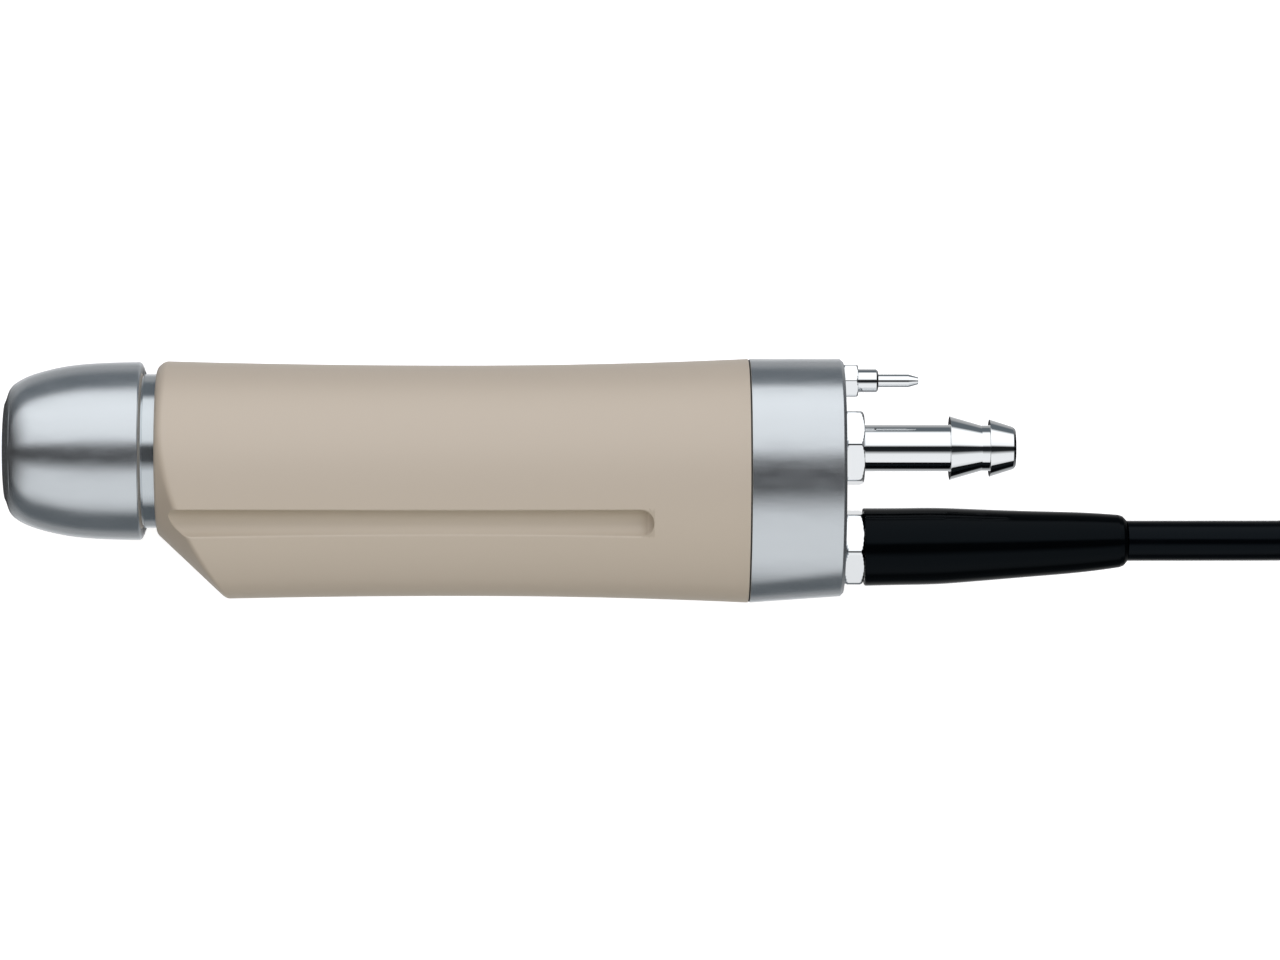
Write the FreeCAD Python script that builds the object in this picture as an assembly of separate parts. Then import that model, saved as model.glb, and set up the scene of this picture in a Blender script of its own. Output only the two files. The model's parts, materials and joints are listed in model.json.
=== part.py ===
"""Powered surgical handpiece for shaver blades, lying on its side, in millimetres.

+X runs from the blade socket back to the cable, +Y to the irrigation side and +Z up from the table.
The origin is the centre of the socket's mouth, on the blade axis.
"""
import FreeCAD
import Part
import math
import os
from FreeCAD import Vector

os.makedirs("parts", exist_ok=True)

# Clearances
fit = 0.05  # radial running fit
slack = 0.3  # between moving and fixed pieces that never touch
sliding_gap = 0.1

# Blade socket and chuck
socket_radius = 6.0
socket_depth = 17.0
socket_mouth_length = 6.0
socket_mouth_chamfer = 0.35
relief_length = 0.8
relief_depth = 0.35
key_width = 2.0
key_depth = 0.6
nose_radius = 7.0
nose_length = 4.0
chuck_radius = 8.2
guide_radius = 8.6
guide_start = 10.4
neck_radius = 11.85
chuck_flange_radius = 10.8
spigot_length = 1.5

# Ball lock
ball_radius = 1.6
ball_count = 3
ball_place = 8.5
ball_travel = 0.57
ball_play = 0.18  # round an unlocked ball
ball_reach = 0.55  # how far a locked ball stands into the socket
cage_clearance = 0.04

# Locking sleeve
sleeve_length = 21.6
sleeve_travel = 1.3
sleeve_gap = 1.8  # bare neck in front of the housing
sleeve_front_radius = 7.5
sleeve_rear_radius = 13.7
sleeve_rear_chamfer = 0.6
sleeve_rear_fall = 1.5  # of the radius along that chamfer
sleeve_curve = (  # shares of the length, and of the radius gained from front to rear
    (0.007, 0.048), (0.0366, 0.3226), (0.1053, 0.5403), (0.2471, 0.7419), (0.4577, 0.9032), (0.6865, 0.9758),
)
sleeve_mouth_clearance = 0.2
nose_ring_radius = 9.95
nose_ring_length = 2.4
nose_chamber_radius = 10.0
stop_ring_radius = 9.85
stop_ring_place = 4.2
stop_ring_width = 0.8
stop_ring_groove = 0.4
stop_ring_gap = 3.0
land_ramp = 1.75
land_end = 11.5
spring_chamber_radius = 10.9
rear_wall = 5.35  # of the sleeve, behind the spring's chamber
neck_step = 3.65  # from the neck's start to the sleeve's rear end
spring_wire_width = 0.9
spring_wire_height = 0.8
spring_turns = 3
seal_inset = 2.45  # from the seal to the sleeve's rear end
seal_width = 1.2
seal_depth = 1.0

# Housing
housing_length = 90.8
housing_top = 13.85
housing_bottom = 23.0
housing_half_width = 13.85
side_centre_drop = 2.9
side_centre_offset = 10.8
waist_share = 0.513  # of the housing's length, in front of the waist
waist_inset = 0.7
rear_swell = 0.32
wall = 1.6
front_wall = 2.0
nose_angle = 43.3  # of the chamfer below the socket, from the blade axis
nose_edge_radius = 1.4
nose_edge_start = 12.1
grip_groove_radius = 2.2
grip_groove_drop = 11.2
grip_groove_offset = 12.86
grip_groove_stop = 14.7  # from the groove's end to the housing's rear
grip_groove_backing = 1.3

# Rear cap
seam = 0.2
seam_recess = 0.15
cap_length = 14.4
cap_lift = 1.0
cap_plate = 3.0
cap_edge_chamfer = 0.5
skirt_length = 4.4
skirt_wall = 1.15
skirt_clearance = 0.15
cap_wall = 2.2

# Irrigation fitting
irrigation_height = 10.8
irrigation_hex_flats = 4.9
irrigation_hex_length = 2.3
irrigation_barrel_radius = 1.8
irrigation_barrel_length = 3.1
irrigation_pin_radius = 1.0
irrigation_pin_length = 4.7
irrigation_tip_radius = 0.55
irrigation_tip_length = 1.5
irrigation_bore_radius = 0.4
irrigation_shank_radius = 1.5

# Suction fitting
port_height = 0.45  # above the blade axis
port_hex_radius = 6.25
port_hex_length = 3.2
port_hex_turn = 6.0
port_tube_radius = 3.58
port_tube_length = 13.2
port_bore_radius = 2.4
port_shank_radius = 4.6
barb_radii = (4.93, 4.45)
barb_necks = (3.5, 3.3)
barb_lengths = (4.9, 3.6)
barb_land = 1.2
barb_tip_round = 0.4

# Cable gland, boot and cable
gland_drop = 14.85
gland_hex_length = 3.1
gland_hex_turn = -6.0
gland_shank_radius = 4.3
cable_radius = 3.1
cable_drop = 13.8
cable_lean = 1.3  # how far lower the cable's inner end is
cable_reach = 10.8  # of the cable into the rear cap
cable_bend = 90.0  # the widest bend
cable_level_run = 31.6
cable_level_drop = 3.0
cable_slant_run = 30.0
cable_slant_drop = 4.0
cable_last_run = 6.0
boot_radius = 6.0
boot_tip_radius = 4.15
boot_straight = 13.0
boot_length = 40.5
boot_tip_round = 0.9
coil_turns_across = 2
coil_layers = 4
coil_fold_diameters = 3  # radius of the innermost fold
coil_run = 108.0
coil_start = 79.6  # from the boot's tip to the middle of the first folds
coil_axis = -19.0
tie_thickness = 0.8
tie_width = 12.0
tie_corner = 2.5
tail_rise_run = 36.0
tail_level_run = 24.0

# Plug
plug_radius = 7.4
plug_boot_length = 16.0
plug_back_length = 16.0
plug_collar_length = 14.0
plug_shell_length = 9.0
plug_shell_radius = 5.2
plug_shell_wall = 0.6
plug_boot_lip = 0.8
plug_boot_step = 1.4
plug_bevel = 0.8
plug_collar_step = 0.6
plug_ring_count = 2
plug_ring_place = 4.0
plug_ring_pitch = 5.0
plug_ring_width = 2.0
plug_ring_depth = 0.5
plug_grip_radius = 0.7
plug_pin_radius = 0.45
plug_pin_inset = 1.5
plug_pin_circle = 2.6
plug_pin_count = 7
plug_grip_count = 18

# Drive train
gear_module = 0.5
output_teeth = 30
pinion_teeth = 19
gear_inset = 10.1  # from the housing's front, as the next ones
gear_width = 5.5
pinion_width = 5.0
tooth_play = 0.05
spindle_radius = 4.0
spindle_bore = 2.5
spindle_front = 12.0
spindle_overhang = 8.0  # behind the gear case
drive_slot_width = 2.2
drive_slot_depth = 3.2
bearing_radius = 7.0
bearing_width = 4.0
bearing_race = 0.9
front_bearing_inset = -0.6
rear_bearing_inset = 16.6
seal_radius = 6.0
seal_length = 1.8
gear_case_inset = 2.1
gear_case_length = 22.5
case_screw_radius = 1.0
case_screw_head = 1.9
case_screw_height = 3.0
case_screw_rise = 3.0
case_screw_spread = 8.96

# Motor
motor_radius = 7.5
motor_wall = 0.7
motor_length = 48.0
motor_shaft_radius = 1.5
motor_bearing_radius = 4.5
motor_bearing_width = 3.0
motor_plate = 1.5
stator_bore = 4.4
stator_inset = 9.0  # from the motor's front
stator_room = 20.0  # of the motor's length, in front of and behind the stator
stator_slots = 6
magnet_radius = 3.9
magnet_shortfall = 2.0  # against the stator
winding_length = 3.5
board_thickness = 1.0

# Lines inside
line_radius = 3.9
line_bore = 3.0
line_rise_run = 10.0  # straight, in front of the fitting and behind the spindle
line_socket_radius = 4.6
line_socket_length = 8.0
lock_nut_thickness = 2.5
lock_nut_wall = 0.7
nipple_length = 6.0
line_seat = 3.0
shank_reach = 4.0  # how far a shank stands past the rear plate, inside
irrigation_line_radius = 0.9
irrigation_line_bore = 0.5
irrigation_channel_height = 9.6
irrigation_channel_radius = 0.6
line_offset_place = 12.0  # from the rear fitting to where the irrigation line drops
line_offset_run = 6.0  # along the line, for each millimetre of drop
wire_radius = 0.5
wire_spread = 1.4
wire_circle = 5.6
wire_lead = 5.0

# Places that follow
neck_start = sleeve_length - neck_step
spring_chamber_end = sleeve_length - rear_wall
seal_place = sleeve_length - seal_inset
housing_front = sleeve_length + sleeve_gap
housing_rear = housing_front + housing_length
waist_place = housing_front + waist_share * housing_length
grip_groove_end = housing_rear - grip_groove_stop
cap_front = housing_rear + seam
cap_rear = cap_front + cap_length
plate_front = cap_rear - cap_plate
front_bearing_place = housing_front + front_bearing_inset
rear_bearing_place = housing_front + rear_bearing_inset
gear_place = housing_front + gear_inset
gear_case_front = housing_front + gear_case_inset
gear_case_rear = gear_case_front + gear_case_length
spindle_rear = gear_case_rear + spindle_overhang
stator_place = gear_case_rear + stator_inset
stator_length = motor_length - stator_room
magnet_length = stator_length - magnet_shortfall
gear_chamber_radius = gear_module * (output_teeth + 2) / 2 + slack
gear_distance = gear_module * (output_teeth + pinion_teeth) / 2
ball_centre = socket_radius - ball_reach + ball_radius
ball_pocket_radius = ball_centre + ball_radius + ball_travel + ball_play
ball_pocket_end = ball_place - sleeve_travel
land_start = ball_pocket_end + land_ramp
land_radius = ball_centre + ball_radius + fit
table = -housing_half_width - rear_swell
boot_front = cap_rear + gland_hex_length
boot_end = boot_front + boot_length
coil_inner_fold = 2 * coil_fold_diameters * cable_radius
coil_outer_fold = coil_inner_fold + 2 * (coil_turns_across - 1) * cable_radius
coil_low = table + tie_thickness
coil_top = coil_low + 2 * coil_layers * cable_radius
coil_first = boot_end + coil_start
coil_level = coil_low + cable_radius
coil_entry = coil_axis + coil_outer_fold

cable_route = [
    Vector(cap_rear - cable_reach, -cable_drop - cable_lean, 0),
    Vector(boot_end, -cable_drop, 0),
    Vector(boot_end + cable_level_run, -cable_drop, -cable_level_drop),
    Vector(boot_end + cable_level_run + cable_slant_run, coil_entry, coil_level + cable_slant_drop / 4),
    Vector(coil_first + cable_last_run, coil_entry, coil_level),
]
tail_middle = coil_axis + (coil_inner_fold + coil_outer_fold) / 2
tail_route = [
    Vector(coil_first - 2 * cable_radius, tail_middle, coil_top - cable_radius),
    Vector(coil_first + tail_rise_run, tail_middle, coil_top + plug_radius),
    Vector(coil_first + tail_rise_run + tail_level_run, tail_middle, coil_top + plug_radius),
]

X = Vector(1, 0, 0)
kept = []


def rod(radius, start, end, y=0, z=0):
    return Part.makeCylinder(radius, end - start, Vector(start, y, z), X)


def pipe(outer, inner, start, end, y=0, z=0):
    return rod(outer, start, end, y, z).cut(rod(inner, start - 1, end + 1, y, z))


def block(x0, x1, y0, y1, z0, z1):
    return Part.makeBox(x1 - x0, y1 - y0, z1 - z0, Vector(x0, y0, z0))


def turned(outline, y=0, z=0):
    """A solid turned about an axis along X, from its (x, radius) outline."""
    points = [Vector(x, y + r, z) for x, r in outline]
    face = Part.Face(Part.makePolygon(points + points[:1]))
    return face.revolve(Vector(0, y, z), X, 360)


def turned_edges(edges, y=0, z=0):
    face = Part.Face(Part.Wire(Part.__sortEdges__(edges)))
    return face.revolve(Vector(0, y, z), X, 360)


def hexagon(radius, start, end, y, turn):
    """A hexagon along X, with both ends' corners turned off."""
    corners = []
    for i in range(7):
        a = math.radians(60 * i + turn)
        corners.append(Vector(start, y + radius * math.sin(a), radius * math.cos(a)))
    prism = Part.Face(Part.makePolygon(corners)).extrude(Vector(end - start, 0, 0))
    flats = radius * math.cos(math.radians(30))
    bevel = (radius - flats) * math.tan(math.radians(30))
    outline = [(start, 0), (start, flats), (start + bevel, radius), (end - bevel, radius), (end, flats), (end, 0)]
    return prism.common(turned(outline, y))


def swept(route, radius):
    """A round tube along straight runs joined by tangent arcs, and its path's length."""
    edges = []
    here = route[0]
    for before, corner, after in zip(route, route[1:], route[2:]):
        run_in = corner - before
        run_out = after - corner
        half_turn = run_in.getAngle(run_out) / 2
        reach = min(0.45 * min(run_in.Length, run_out.Length), cable_bend * math.tan(half_turn))
        bend = reach / math.tan(half_turn)
        print("bend radius", round(bend, 1))
        start = corner - Vector(run_in).normalize() * reach
        end = corner + Vector(run_out).normalize() * reach
        inward = (end - corner).normalize() + (start - corner).normalize()
        middle = corner + inward.normalize() * (bend / math.cos(half_turn) - bend)
        edges.append(Part.LineSegment(here, start).toShape())
        edges.append(Part.Arc(start, middle, end).toShape())
        here = end
    edges.append(Part.LineSegment(here, route[-1]).toShape())
    path = Part.Wire(edges)
    ring = Part.Wire(Part.makeCircle(radius, route[0], route[1] - route[0]))
    tube = path.makePipeShell([ring], True, False)
    off = tube.Volume / (math.pi * radius**2 * path.Length) - 1
    print("tube length", round(path.Length, 1), "volume off by", round(100 * off, 2), "%")
    return tube


def swell(x):
    """How far the housing's outside stands beyond its front size: a waist, then a wider rear."""
    t = (x - waist_place) / (waist_place - housing_front)
    if x < waist_place:
        return -waist_inset * (1 - t * t)
    t = (x - waist_place) / (housing_rear - waist_place)
    return min(rear_swell, -waist_inset + (waist_inset + rear_swell) * t * t)


def egg(x, grow, lift=0.0):
    """The housing's section at x: a top arc, two side arcs and a bottom arc, all tangent."""
    top = housing_top + grow
    bottom = -housing_bottom - grow + lift
    half = housing_half_width + grow
    side = half + side_centre_offset
    above = side - (top + side_centre_drop)
    below = side - (-side_centre_drop - bottom)
    up = (side_centre_offset**2 - above**2) / (2 * above)
    down = (side_centre_offset**2 - below**2) / (2 * below)
    top_radius = side - up - above
    bottom_radius = side - down - below
    top_y = up - side_centre_drop + top_radius * up / (up + above)
    top_z = top_radius * side_centre_offset / (up + above)
    bottom_y = -down - side_centre_drop - bottom_radius * down / (down + below)
    bottom_z = bottom_radius * side_centre_offset / (down + below)
    upper = Vector(x, top_y, top_z)
    upper_far = Vector(x, top_y, -top_z)
    lower = Vector(x, bottom_y, bottom_z)
    lower_far = Vector(x, bottom_y, -bottom_z)
    arcs = [
        Part.Arc(upper, Vector(x, top, 0), upper_far),
        Part.Arc(upper_far, Vector(x, -side_centre_drop, -half), lower_far),
        Part.Arc(lower_far, Vector(x, bottom, 0), lower),
        Part.Arc(lower, Vector(x, -side_centre_drop, half), upper),
    ]
    return Part.Wire([arc.toShape() for arc in arcs])


def form(inset, *places):
    """The outside of the housing and its rear cap, set in by inset, through its sections at these places."""
    sections = []
    for x in places:
        lift = cap_lift * max(0.0, (x - cap_front) / cap_length)
        sections.append(egg(x, swell(x) - inset, lift))
    return Part.makeLoft(sections, True, len(sections) == 2)


def housing_form(inset, start, end):
    stations = ((housing_front + waist_place) / 2, waist_place, (waist_place + housing_rear) / 2)
    margin = front_wall + wall
    return form(inset, start, *[x for x in stations if start + margin < x < end - margin], end)


def inner_nose(inset, start):
    """The same as nose_form below, with a sharp edge for what nobody sees."""
    slope = math.tan(math.radians(nose_angle))
    reach = nose_edge_radius * math.tan(math.radians(90 - nose_angle) / 2)
    corner = nose_edge_start + reach - inset / math.cos(math.radians(nose_angle))
    corner += slope * (start - housing_front)
    far = 2 * housing_bottom
    return turned([(start, 0), (start, corner), (start + (far - corner) / slope, far), (cap_rear, far), (cap_rear, 0)])


def nose_form(inset, start):
    """What the front face, its rounded edge and the chamfer below the socket leave, set in by inset."""
    slope = math.tan(math.radians(nose_angle))
    reach = nose_edge_radius * math.tan(math.radians(90 - nose_angle) / 2)
    corner = nose_edge_start + reach - inset / math.cos(math.radians(nose_angle))
    corner += slope * (start - housing_front)
    angle = math.radians(nose_angle)
    far = 2 * housing_bottom
    first = Vector(start, corner - reach, 0)
    second = Vector(start + reach * math.cos(angle), corner + reach * math.sin(angle), 0)
    centre = Vector(start + nose_edge_radius, corner - reach, 0)
    middle = centre + ((first - centre) + (second - centre)).normalize() * nose_edge_radius
    outer = Vector(start + (far - corner) / slope, far, 0)
    back = cap_rear
    edges = [
        Part.LineSegment(Vector(start, 0, 0), first).toShape(),
        Part.Arc(first, middle, second).toShape(),
        Part.LineSegment(second, outer).toShape(),
        Part.LineSegment(outer, Vector(back, far, 0)).toShape(),
        Part.LineSegment(Vector(back, far, 0), Vector(back, 0, 0)).toShape(),
        Part.LineSegment(Vector(back, 0, 0), Vector(start, 0, 0)).toShape(),
    ]
    return turned_edges(edges)


def grip_groove(radius, side):
    end = grip_groove_end - grip_groove_radius
    z = side * grip_groove_offset
    bar = rod(radius, housing_front - 5, end, -grip_groove_drop, z)
    return bar.fuse(Part.makeSphere(radius, Vector(end, -grip_groove_drop, z)))


def gear(teeth, start, end, y, turn, bore):
    """A spur gear with straight-sided teeth, thinned by the play."""
    pitch = gear_module * teeth / 2
    tip = pitch + gear_module
    root = pitch - 1.2 * gear_module
    step = 2 * math.pi / teeth
    widths = ((root, 0.34), (pitch, 0.25 - tooth_play / (gear_module * 2 * math.pi)), (tip, 0.12))
    points = []
    for i in range(teeth):
        middle = i * step + turn
        sides = [(r, middle - w * step) for r, w in widths] + [(r, middle + w * step) for r, w in reversed(widths)]
        points += [Vector(start, y + r * math.cos(a), r * math.sin(a)) for r, a in sides]
    body = Part.Face(Part.makePolygon(points + points[:1])).extrude(Vector(end - start, 0, 0))
    return body.cut(rod(bore, start - 1, end + 1, y))


def save(name, shape):
    """Write one sub-part, after its shape is checked."""
    shape = shape.removeSplitter() if name not in plain_saves else shape
    solids = shape.Solids
    if not solids or not shape.isValid():
        raise ValueError(name + " is not sound")
    out = solids[0] if len(solids) == 1 else Part.makeCompound(solids)
    out.exportStep("parts/" + name + ".step")
    kept.append(name)
    print(name, len(solids), round(sum(s.Volume for s in solids), 2))


plain_saves = {"cable", "cable_tail", "sleeve_spring"}


def sleeve_outline():
    """The sleeve's outside: a steep rounded front and a long easing curve to the rear."""
    gain = sleeve_rear_radius - sleeve_front_radius
    points = [Vector(0, sleeve_front_radius, 0)]
    points += [Vector(x * sleeve_length, sleeve_front_radius + r * gain, 0) for x, r in sleeve_curve]
    points.append(Vector(sleeve_length - sleeve_rear_chamfer, sleeve_rear_radius, 0))
    curve = Part.BSplineCurve()
    curve.interpolate(points)
    return curve


def sleeve_blank():
    rear = sleeve_length - sleeve_rear_chamfer
    points = [
        Vector(rear, sleeve_rear_radius, 0),
        Vector(sleeve_length, sleeve_rear_radius - sleeve_rear_fall, 0),
        Vector(sleeve_length, 0, 0),
        Vector(0, 0, 0),
        Vector(0, sleeve_front_radius, 0),
    ]
    edges = [sleeve_outline().toShape()]
    edges += [Part.LineSegment(a, b).toShape() for a, b in zip(points, points[1:])]
    return turned_edges(edges)


def locking_sleeve():
    neck_bore = neck_radius + sliding_gap
    hollow = turned([
        (-1, 0), (-1, nose_ring_radius), (nose_ring_length, nose_ring_radius),
        (nose_ring_length, nose_chamber_radius),
        (stop_ring_place + stop_ring_width + fit, nose_chamber_radius),
        (stop_ring_place + stop_ring_width + fit, ball_pocket_radius),
        (ball_pocket_end, ball_pocket_radius), (land_start, land_radius), (land_end, land_radius),
        (land_end, spring_chamber_radius), (spring_chamber_end, spring_chamber_radius),
        (spring_chamber_end, neck_bore), (sleeve_length + 1, neck_bore), (sleeve_length + 1, 0),
    ])
    save("locking_sleeve", sleeve_blank().cut(hollow))


def nose_ring():
    ring = sleeve_blank().common(rod(nose_ring_radius, -1, nose_ring_length))
    save("nose_ring", ring.cut(rod(nose_radius + sleeve_mouth_clearance, -1, nose_ring_length + 1)))


def chuck_body():
    groove = (stop_ring_place, stop_ring_place + stop_ring_width)
    ring_floor = chuck_radius - stop_ring_groove
    blank = turned([
        (0, 0), (0, nose_radius - 0.3), (0.3, nose_radius), (nose_length, nose_radius),
        (nose_length, ring_floor), (groove[1], ring_floor), (groove[1], chuck_radius),
        (guide_start, chuck_radius), (guide_start + 0.4, guide_radius), (neck_start, guide_radius),
        (neck_start, neck_radius), (seal_place, neck_radius), (seal_place, neck_radius - seal_depth),
        (seal_place + seal_width, neck_radius - seal_depth), (seal_place + seal_width, neck_radius),
        (housing_front, neck_radius), (housing_front, chuck_flange_radius),
        (gear_case_front + 1, chuck_flange_radius), (gear_case_front + 1, gear_chamber_radius),
        (gear_case_front + 1 + spigot_length, gear_chamber_radius), (gear_case_front + 1 + spigot_length, 0),
    ])
    mouth_end = socket_mouth_length
    relief_end = mouth_end + relief_length
    seal_start = front_bearing_place - seal_length
    rear = gear_case_front + 1 + spigot_length
    bore = turned([
        (-1, 0), (-1, socket_radius + socket_mouth_chamfer), (0, socket_radius + socket_mouth_chamfer),
        (socket_mouth_chamfer, socket_radius), (mouth_end, socket_radius),
        (mouth_end, socket_radius + relief_depth), (relief_end, socket_radius + relief_depth),
        (relief_end, socket_radius), (socket_depth, socket_radius), (socket_depth, spindle_radius + slack),
        (seal_start, spindle_radius + slack), (seal_start, seal_radius),
        (front_bearing_place, seal_radius), (front_bearing_place, bearing_radius),
        (rear + 1, bearing_radius), (rear + 1, 0),
    ])
    body = blank.cut(bore)
    body = body.cut(block(-1, mouth_end, 0, socket_radius + key_depth, -key_width / 2, key_width / 2))
    for i in range(ball_count):
        angle = 180 + 360 * i / ball_count
        hole = Part.makeCylinder(ball_radius + cage_clearance, chuck_radius + 2, Vector(0, 0, 0), Vector(0, 1, 0))
        hole.translate(Vector(ball_place, 0, 0))
        hole.rotate(Vector(0, 0, 0), X, angle)
        body = body.cut(hole)
    for side in (-1, 1):
        body = body.cut(rod(case_screw_radius, housing_front + 0.6, rear, case_screw_rise, side * case_screw_spread))
    channel = Vector(socket_depth - 1.2, socket_radius - 1, 0)
    turn_point = Vector(socket_depth + 3.3, irrigation_channel_height, 0)
    body = body.cut(rod(irrigation_channel_radius, turn_point.x, rear, irrigation_channel_height))
    slant = turn_point - channel
    body = body.cut(Part.makeCylinder(irrigation_channel_radius, slant.Length, channel, slant))
    save("chuck_body", body)


def stop_ring():
    start = stop_ring_place
    ring = pipe(stop_ring_radius, chuck_radius - stop_ring_groove, start, start + stop_ring_width)
    half = stop_ring_gap / 2
    opening = block(start - 1, start + stop_ring_width + 1, -2 * stop_ring_radius, 0, -half, half)
    save("stop_ring", ring.cut(opening))


def lock_balls():
    for i in range(ball_count):
        angle = math.radians(180 + 360 * i / ball_count)
        centre = Vector(ball_place, ball_centre * math.cos(angle), ball_centre * math.sin(angle))
        save("lock_ball_" + str(i + 1), Part.makeSphere(ball_radius, centre))


def sleeve_spring():
    """A coil of flat wire between the sleeve's land and the neck."""
    start = land_end + fit
    end = neck_start - fit
    radius = (guide_radius + spring_chamber_radius) / 2
    pitch = (end - start - spring_wire_height) / spring_turns
    helix = Part.makeHelix(pitch, pitch * spring_turns, radius)
    half_w = spring_wire_width / 2
    half_h = spring_wire_height / 2
    corners = [(-half_w, -half_h), (half_w, -half_h), (half_w, half_h), (-half_w, half_h), (-half_w, -half_h)]
    section = Part.makePolygon([Vector(radius + w, 0, h) for w, h in corners])
    coil = Part.Wire(helix).makePipeShell([section], True, True)
    coil.rotate(Vector(0, 0, 0), Vector(0, 1, 0), 90)
    coil.translate(Vector(start + half_h, 0, 0))
    save("sleeve_spring", coil)


def sleeve_seal():
    save("sleeve_seal", pipe(neck_radius + fit, neck_radius - seal_depth, seal_place, seal_place + seal_width))


def housing_shell():
    outer = housing_form(0, housing_front, housing_rear).common(nose_form(0, housing_front))
    for side in (-1, 1):
        outer = outer.cut(grip_groove(grip_groove_radius, side))
    start = housing_front + front_wall
    hollow = housing_form(wall, start, housing_rear).common(inner_nose(wall, start))
    for side in (-1, 1):
        hollow = hollow.cut(grip_groove(grip_groove_radius + grip_groove_backing, side))
    shell = outer.cut(hollow)
    save("housing_shell", shell.cut(rod(chuck_flange_radius, housing_front - 1, start + 1)))


def rear_gasket():
    ring = Part.Face(egg(housing_rear, rear_swell - seam_recess)).extrude(Vector(seam, 0, 0))
    hole = Part.Face(egg(housing_rear, rear_swell - wall)).extrude(Vector(seam, 0, 0))
    save("rear_gasket", ring.cut(hole))


def rear_cap():
    rear = form(0, cap_front, cap_rear)
    rim = [e for e in rear.Edges if e.BoundBox.XMin > cap_rear - 0.01]
    cap = rear.makeChamfer(cap_edge_chamfer, rim).cut(form(cap_wall, cap_front, plate_front))
    skirt_inset = wall + skirt_clearance
    skirt_front = cap_front - skirt_length
    overlap = cap_front + 2
    cap = cap.fuse(form(skirt_inset, skirt_front, housing_rear).fuse(form(skirt_inset, housing_rear, overlap)).cut(
        form(skirt_inset + skirt_wall, skirt_front, housing_rear)).cut(
        form(skirt_inset + skirt_wall, housing_rear, overlap)))
    shank_start = plate_front - shank_reach / 2
    cap = cap.cut(rod(irrigation_shank_radius, shank_start, cap_rear + 1, irrigation_height))
    cap = cap.cut(rod(port_shank_radius, plate_front - 1, cap_rear + 1, port_height))
    save("rear_cap", cap.cut(rod(gland_shank_radius, plate_front - 1, cap_rear + 1, -gland_drop)))


def irrigation_fitting():
    y = irrigation_height
    hex_end = cap_rear + irrigation_hex_length
    barrel_end = hex_end + irrigation_barrel_length
    pin_end = barrel_end + irrigation_pin_length
    nut = hexagon(irrigation_hex_flats / math.sqrt(3), cap_rear, hex_end, y, 0)
    shank_start = plate_front - shank_reach / 2
    nipple_start = shank_start - nipple_length / 2
    stem = turned([
        (nipple_start, 0), (nipple_start, irrigation_line_bore), (shank_start, irrigation_line_bore),
        (shank_start, irrigation_shank_radius), (hex_end, irrigation_shank_radius),
        (hex_end, irrigation_barrel_radius), (barrel_end - 0.3, irrigation_barrel_radius),
        (barrel_end, irrigation_barrel_radius - 0.3), (barrel_end, irrigation_pin_radius),
        (pin_end, irrigation_pin_radius), (pin_end + irrigation_tip_length, irrigation_tip_radius),
        (pin_end + irrigation_tip_length, 0),
    ], y)
    bore = rod(irrigation_bore_radius, nipple_start - 1, pin_end + 5, y)
    save("irrigation_fitting", nut.fuse(stem).cut(bore))


def suction_fitting():
    hex_end = cap_rear + port_hex_length
    first = cap_rear + port_hex_length + port_tube_length
    first_end = first + barb_lengths[0]
    second = first_end + barb_land
    second_end = second + barb_lengths[1]
    nut = hexagon(port_hex_radius, cap_rear, hex_end, port_height, port_hex_turn)
    shank_start = plate_front - shank_reach
    nipple_start = shank_start - nipple_length
    stem = turned([
        (nipple_start, 0), (nipple_start, line_bore), (shank_start, line_bore), (shank_start, port_shank_radius),
        (cap_rear, port_shank_radius), (cap_rear, port_tube_radius), (first, port_tube_radius),
        (first, barb_radii[0]), (first_end, barb_necks[0]), (second, barb_necks[0]), (second, barb_radii[1]),
        (second_end, barb_necks[1]), (second_end + barb_tip_round, barb_necks[1] - barb_tip_round),
        (second_end + barb_tip_round, 0),
    ], port_height)
    bore = rod(port_bore_radius, nipple_start - 1, second_end + 1, port_height)
    save("suction_fitting", nut.fuse(stem).cut(bore))


def lock_nut(name, hole, y):
    """Clamps a fitting's shank behind the rear plate."""
    radius = (hole + lock_nut_wall) / math.cos(math.radians(30))
    nut = hexagon(radius, plate_front - lock_nut_thickness, plate_front, y, 0)
    save(name, nut.cut(rod(hole, plate_front - 5, plate_front + 1, y)))


def gland():
    nut = hexagon(port_hex_radius, cap_rear, boot_front, -gland_drop, gland_hex_turn)
    shank = rod(gland_shank_radius, plate_front - shank_reach, cap_rear + 1, -gland_drop)
    save("gland_body", nut.fuse(shank).cut(cable_solid))
    lock_nut("gland_lock_nut", gland_shank_radius, -gland_drop)
    lock_nut("suction_lock_nut", port_shank_radius, port_height)


def strain_relief():
    """A boot about the cable's first run, straight and then tapered to a rounded tip."""
    along = cable_route[1] - cable_route[0]
    lean = math.degrees(math.atan2(along.y, along.x))
    straight = boot_length - boot_straight
    tip = boot_tip_radius - boot_tip_round
    body = turned([
        (-boot_length, 0), (-boot_length, boot_radius), (-straight, boot_radius), (-boot_tip_round, boot_tip_radius),
        (-0.3 * boot_tip_round, boot_tip_radius - 0.3 * boot_tip_round), (0, tip), (0, 0),
    ])
    body.rotate(Vector(0, 0, 0), Vector(0, 0, 1), lean)
    body.translate(cable_route[1])
    flush = block(boot_front, boot_end + 1, -housing_bottom, 0, -housing_half_width, housing_half_width)
    save("strain_relief", body.common(flush).cut(cable_solid))


def oblong(radius, low, high):
    """A flat loop's filled outline about the coil's two middles."""
    ends = [Part.makeCylinder(radius, high - low, Vector(x, coil_axis, low)) for x in (coil_first, coil_first + coil_run)]
    middle = block(coil_first, coil_first + coil_run, coil_axis - radius, coil_axis + radius, low, high)
    return ends[0].fuse([middle, ends[1]]).removeSplitter()


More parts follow.
